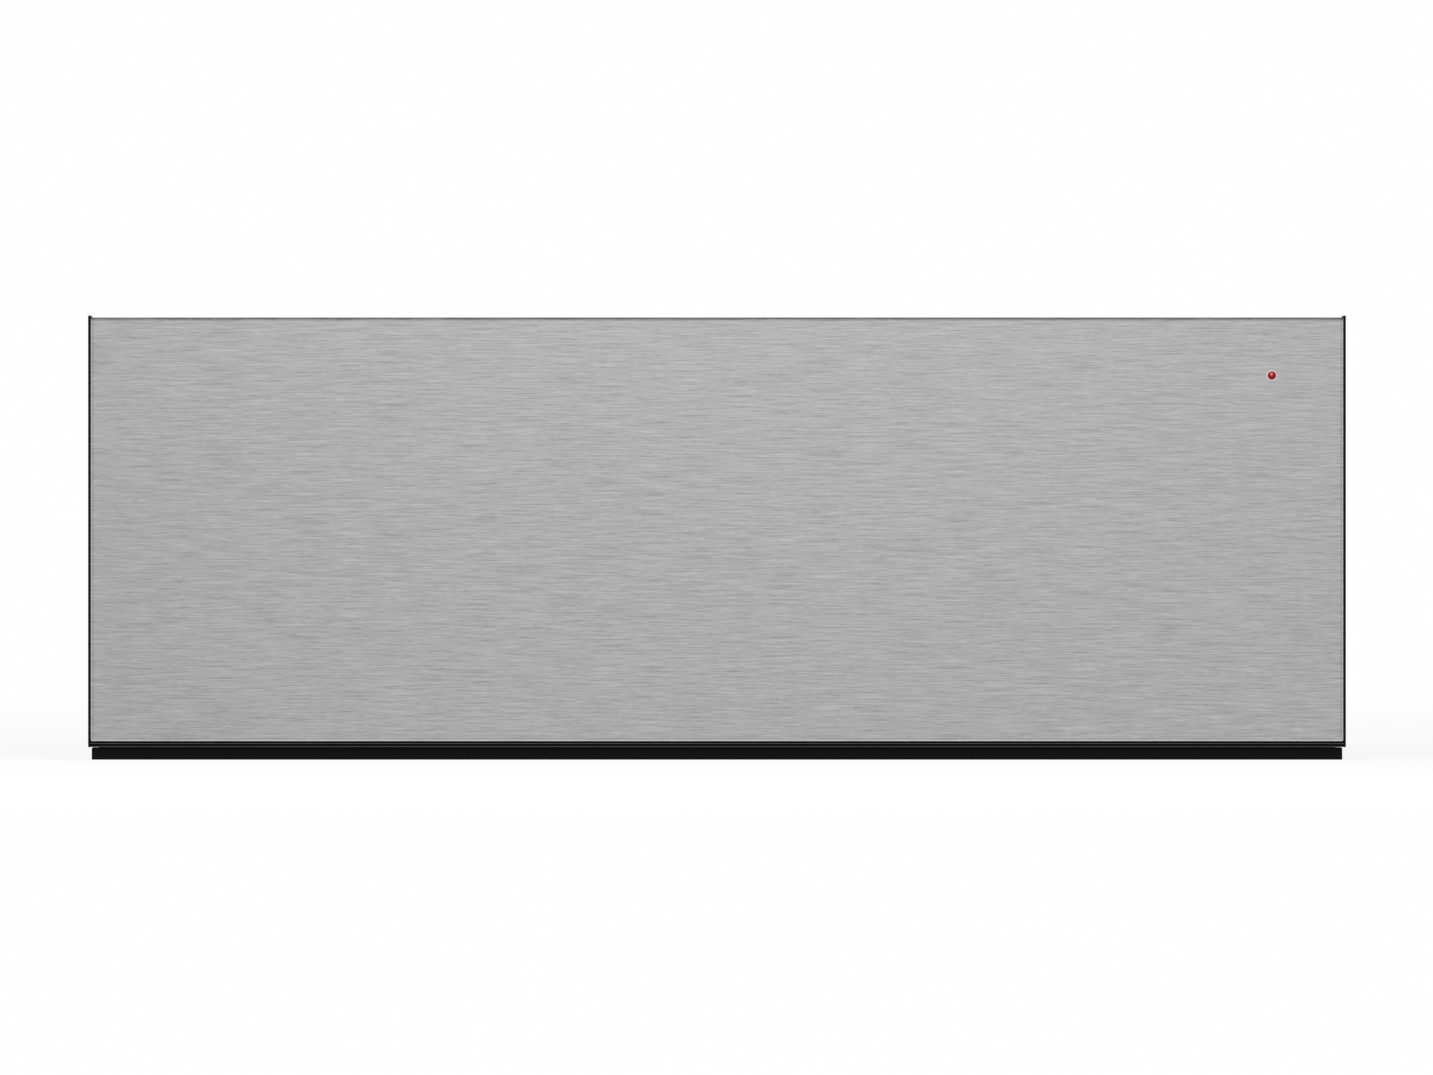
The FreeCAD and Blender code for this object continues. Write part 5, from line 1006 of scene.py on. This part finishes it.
def line(points, width, x, y, z):
    """A printed line, as wide in X as given; its points are (x, y) from its place."""
    mark = outlined("line", points)
    with shaping(mark):
        bpy.ops.mesh.select_all(action="SELECT")
        bpy.ops.mesh.extrude_region_move(TRANSFORM_OT_translate={"value": (width * MM, 0, 0)})
    mark.rotation_euler = (math.radians(-90), 0, 0)
    mark.location = Vector((x - width / 2, y, z)) * MM
    settled(mark, "line")
    closed(mark)
    return modified(mark, "SOLIDIFY", thickness=INK * MM, offset=0)


NUMBER_CIRCLE = 22.5               # radius of the numbers' circle round the knob
LEVELS, LEVEL_TURN = 5, 60         # degrees from level to level
KNOB_NUMBER, LAMP_NUMBER = 4.6, 3.4       # height of the figures
WAVES, WAVE_PITCH, WAVE_LINE = 3, 2.3, 0.55
WAVE = [(0.7 * math.sin(0.9 * i), 0.9 * i) for i in range(8)]
figures_y = row_y - 5.6            # in front of the lamps
waves_x, waves_y = low.x - 13, row_y - 3
marks = []
for level in range(LEVELS):
    turn = math.radians(90 - LEVEL_TURN * level)
    x, y = knob_x + NUMBER_CIRCLE * math.cos(turn), knob_y + NUMBER_CIRCLE * math.sin(turn)
    marks.append(number(str(level), x, y, fascia_top, KNOB_NUMBER))
for i in range(LAMPS):
    marks.append(number(str(i + 1), row_x + i * LAMP_PITCH, figures_y, fascia_top, LAMP_NUMBER))
for i in range(WAVES):
    marks.append(line(WAVE, WAVE_LINE, waves_x + i * WAVE_PITCH, waves_y, fascia_top))
done(gathered("panel_print", *marks), "print", "drawer")

POINTER_HALF = 0.5                 # half the pointer's width
POINTER_ENDS = (4, 14)             # from the knob's axis
bar_top = base_z + SKIRT
pointer = block("pointer", (knob_x - POINTER_HALF, knob_y + POINTER_ENDS[0], bar_top - 0.02),
                (knob_x + POINTER_HALF, knob_y + POINTER_ENDS[1], bar_top + INK))
done(pointer, "print", "selector")

# %% [markdown]
# The button has a power sign: a ring that is open at the back, with a stroke in the gap. A short
# line across the ring's width is spun through most of a circle, turned so that the middle of the
# ring faces forwards, and thickened. Its ink is thicker, because the button's face is dished.

# %% Power sign
RING_TURN = 290                    # degrees of the circle that are drawn
RING_INNER, RING_OUTER = 2.2, 2.75
STROKE_HALF, STROKE_ENDS = 0.28, (0.9, 3.1)      # half its width, and its ends from the middle
arc = outlined("power_mark", [(RING_INNER, 0), (RING_OUTER, 0)])
with shaping(arc):
    bpy.ops.mesh.select_all(action="SELECT")
    bpy.ops.mesh.spin(steps=32, angle=math.radians(RING_TURN), center=(0, 0, 0), axis=(0, 0, 1))
middle = sum((v.co for v in arc.data.vertices), Vector()) / len(arc.data.vertices)
arc.rotation_euler = (0, 0, -QUARTER - math.atan2(middle.y, middle.x))
button_face = span("power_button")[1].z - DISH
arc.location = Vector((button_x, button_y, button_face + 2 * INK)) * MM
settled(arc, "power_mark")
closed(arc)
modified(arc, "SOLIDIFY", thickness=2 * INK * MM, offset=0)
stroke = block("stroke", (button_x - STROKE_HALF, button_y + STROKE_ENDS[0], button_face),
               (button_x + STROKE_HALF, button_y + STROKE_ENDS[1], button_face + 3 * INK))
done(gathered("power_mark", arc, stroke), "print", "button")

# %% [markdown]
# A spring is a small circle screwed along its axis, and the Screw modifier does just that. The latch
# springs join two bodies that one joint parts, and are left here without a body of their own. The button's
# spring rides on the drawer.

# %% Springs
def coil(name, radius, wire, turns, length, centre, axis):
    """A coil of wire that starts at its centre's place and runs along the axis."""
    bpy.ops.object.select_all(action="DESELECT")
    bpy.ops.mesh.primitive_circle_add(vertices=8, radius=wire / 2 * MM, location=(radius * MM, 0, 0),
                                      rotation=(math.pi / 2, 0, 0), fill_type="NGON")
    piece = settled(bpy.context.object, name)
    modified(piece, "SCREW", axis="Z", angle=2 * math.pi, screw_offset=(length - wire) / turns * MM,
             iterations=turns, steps=20, render_steps=20)
    with shaping(piece):
        pick(piece, "EDGE", lambda edge: len(edge.link_faces) == 1)
        bpy.ops.mesh.edge_face_add()
    closed(piece)
    piece.rotation_euler = TURN_TO[axis]
    piece.location = Vector(centre) * MM
    return settled(piece, name)


low, high = span("latch_springs")
SPRING_WIRE, SPRING_TURNS = 0.8, 9
spring_radius = (high.z - low.z - SPRING_WIRE) / 2
spring_z = (low.z + high.z) / 2
for side, name in ((-1, "latch_spring_left"), (1, "latch_spring_right")):
    x = side * (high.x - spring_radius - SPRING_WIRE / 2)
    spring = coil(name, spring_radius, SPRING_WIRE, SPRING_TURNS, high.y - low.y,
                  (x, low.y + SPRING_WIRE / 2, spring_z), "y")
    done(spring, "spring_steel", None, "latch_springs")
    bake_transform(spring)

low, high = span("button_spring")
KEY_WIRE, KEY_TURNS = 0.6, 4
spring = coil("key_spring", (high.x - low.x - KEY_WIRE) / 2, KEY_WIRE, KEY_TURNS, high.z - low.z,
              (button_x, button_y, low.z + KEY_WIRE / 2), "z")
done(spring, "spring_steel", "drawer", "button_spring")
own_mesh(spring)

# %% [markdown]
# The flat cable is twelve cores side by side, so its section is a row of shallow scallops. One such section
# is drawn out into the straight runs and spun into the half turn. The cable rolls as the drawer moves: the
# half turn rides on the middle rails, and each run joins two bodies and is left without a body of its own.
# The lower run crosses two joints, so it is made of two lengths.

# %% Flat cable
CORES = 12
ribbon_low, ribbon_high = span("ribbon_lower_run")
bend_low, bend_high = span("ribbon_bend")
thick = ribbon_high.z - ribbon_low.z
core_pitch = (ribbon_high.x - ribbon_low.x) / CORES


def ribbon_section(name, z):
    """The cable's section at a height: an edge loop in the XZ plane, filled."""
    steps = [(ribbon_low.x + core_pitch * (i + f), 0.5 * thick * (0.62 + 0.38 * math.sin(math.pi * f)))
             for i in range(CORES) for f in (0.0, 0.25, 0.5, 0.75)] + [(ribbon_high.x, 0.31 * thick)]
    section = outlined(name, [(x, z + h) for x, h in steps] + [(x, z - h) for x, h in reversed(steps)])
    with shaping(section):
        bpy.ops.mesh.select_all(action="SELECT")
        bpy.ops.mesh.edge_face_add()
    return section


def ribbon_run(name, y0, y1, z, lengths):
    """The section drawn out from y0 to y1, in so many lengths."""
    run = ribbon_section(name, z)
    step = (0, (y1 - y0) / lengths * MM, 0)
    with shaping(run):
        bpy.ops.mesh.select_all(action="SELECT")
        for _ in range(lengths):
            bpy.ops.mesh.extrude_region_move(TRANSFORM_OT_translate={"value": step})
    run.location.y = y0 * MM
    settled(run, name)
    return closed(run)


def rolling_run(name, node, y_from, y_to, z, lengths):
    """A straight run between two bodies, left without a body of its own."""
    run = ribbon_run(name, min(y_from, y_to), max(y_from, y_to), z, lengths)
    done(run, "cable_sheath", None, node)
    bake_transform(run)


LATCH_LENGTH = 118.0               # the part of the lower run that grows as the latches push
split_y = ribbon_high.y - LATCH_LENGTH
upper_back = span("ribbon_upper_run")[1].y
lower_z, upper_z = ribbon_low.z + thick / 2, bend_high.z - thick / 2
rolling_run("cable_lower_back", "ribbon_lower_run", ribbon_high.y, split_y, lower_z, 12)
rolling_run("cable_lower_front", "ribbon_lower_run", split_y, ribbon_low.y, lower_z, 16)
rolling_run("cable_upper", "ribbon_upper_run", ribbon_low.y, upper_back, upper_z, 24)

# %% [markdown]
# The half turn at the front end of the runs has the same section. It is spun through half a circle,
# about a line that crosses the cable midway between the two runs.

# %% Half turn of the cable
turn = ribbon_section("cable_turn", lower_z)
bend_middle = (bend_low.z + bend_high.z) / 2 * MM
with shaping(turn):
    bpy.ops.mesh.select_all(action="SELECT")
    bpy.ops.mesh.spin(steps=14, angle=math.pi, center=(0, 0, bend_middle), axis=(1, 0, 0))
closed(turn)
turn.location.y = ribbon_low.y * MM
settled(turn, "cable_turn")
done(turn, "cable_sheath", "middle_rails", "ribbon_bend")

# %% [markdown]
# The round cable hangs under the drawer's floor on three small clips. A clip is a block round the
# cable, with a lug beside it for its rivet, and all its edges are rounded.

# %% Cable clips
CLIP_PLACES = (-190, -60, 70)      # along the drawer
CLIP_HALF = 4.0                    # half a clip's width along the cable
CLIP_WALL, CLIP_FLOOR = 1.6, 1.2   # beside and below the cable
LUG_THICKNESS, LUG_LENGTH, RIVET_PLACE = 1.2, 10.0, 6.0
RIVET = [(0, -2.0), (1.2, -1.9), (1.9, -1.5), (2.2, -1.1), (0, -1.1)]
low, high = span("drawer_wiring")
drawer_bottom = span("drawer_floor_pan")[0].z
clips = []
for y in CLIP_PLACES:
    clip = block("clip", (low.x - CLIP_WALL, y - CLIP_HALF, low.z - CLIP_FLOOR),
                 (high.x + CLIP_WALL, y + CLIP_HALF, drawer_bottom))
    lug = block("lug", (high.x, y - CLIP_HALF, drawer_bottom - LUG_THICKNESS),
                (high.x + LUG_LENGTH, y + CLIP_HALF, drawer_bottom))
    rivet = turned("rivet", RIVET, (high.x + RIVET_PLACE, y, drawer_bottom), "z", 20)
    clips.append(gathered("clip", eased(welded(clip, lug), 0.6, 3), rivet))
done(gathered("cable_clips", *clips), "black_plastic", "drawer")

# %% [markdown]
# The studio is a pale floor without walls and a white sky. Both look white to the camera and in
# reflections, and lend less than that to dull surfaces, so that pale parts don't wash out. Only the
# floor near the object takes its shadow.

# %% Sky and floor
SKY_LEVEL = 0.62                   # what the sky lends to dull surfaces
FLOOR_LEVEL = 0.80                 # the same for the floor
SHADOW_SHARE = 0.18                # how much of the shadow the floor shows near the object
SHADOW_ENDS = (0.9, 2.4)           # metres from the middle: it starts to fade here, and ends there
world = bpy.data.worlds.new("studio")
bpy.context.scene.world = world
world.use_nodes = True
sky = Nodes(world.node_tree)
sky_strength = SKY_LEVEL + sky.seen() * (1 - SKY_LEVEL)
sky.feed(sky.tree.nodes["Background"], {"Color": (1, 1, 1, 1), "Strength": sky_strength})

bpy.ops.mesh.primitive_plane_add(size=FLOOR_SIZE, location=(0, 0, 0))
floor = bpy.context.object
floor.name = "floor"
ground = Finish("floor", Roughness=1.0, Specular_IOR_Level=0.0)
seen = ground.seen()
floor.data.materials.append(ground.surface(Base_Color=FLOOR_LEVEL + seen * (1 - FLOOR_LEVEL)))
reach = ground.node("ShaderNodeVectorMath", {"operation": "LENGTH"}, {0: ground.place()}, "Value")
white_share = seen * (1 - near(reach, SHADOW_ENDS) * SHADOW_SHARE)
white = ground.node("ShaderNodeEmission", {}, {"Strength": 1.0})
matt = Value(ground, ground.shader.outputs[0])
shown = ground.node("ShaderNodeMixShader", {}, {0: white_share, 1: matt, 2: white})
ground.feed(ground.tree.nodes["Material Output"], {"Surface": shown})
print("sky and floor ready")

# %% [markdown]
# Three soft lamps light the object. The large one high in front isn't mirrored, so it lights the
# dull parts and leaves the steel alone. A weak panel is mirrored in the steel, and makes the front
# a little lighter at its top. The third lights the back.

# %% Lamps
def soft_lamp(name, place, target, width, height, power, mirrored=True):
    """A rectangular lamp aimed at a point; metal shows it only where it is mirrored."""
    data = bpy.data.lights.new(name, "AREA")
    data.shape = "RECTANGLE"
    data.size, data.size_y, data.energy = width, height, power
    lamp = bpy.data.objects.new(name, data)
    bpy.context.scene.collection.objects.link(lamp)
    lamp.location = place
    lamp.rotation_euler = (Vector(target) - Vector(place)).to_track_quat("-Z", "Y").to_euler()
    lamp.visible_camera = False
    lamp.visible_glossy = mirrored
    return lamp


soft_lamp("key_lamp", (0, -1.6, 1.5), (0, -0.25, 0.2), 1.6, 0.8, 15, mirrored=False)
soft_lamp("front_panel", (0, -1.30, 0.58), (0, -0.287, 0.2), 0.9, 0.6, 1.0)
soft_lamp("rear_lamp", (-1.2, 2.2, 2.0), (0, 0, 0.15), 2.0, 1.2, 8)
print("studio ready")

# %% [markdown]
# The last cell prints the size of the CAD model.

# %% Finish
print("CAD box", [[round(c, 4) for c in corner] for corner in cad_box])
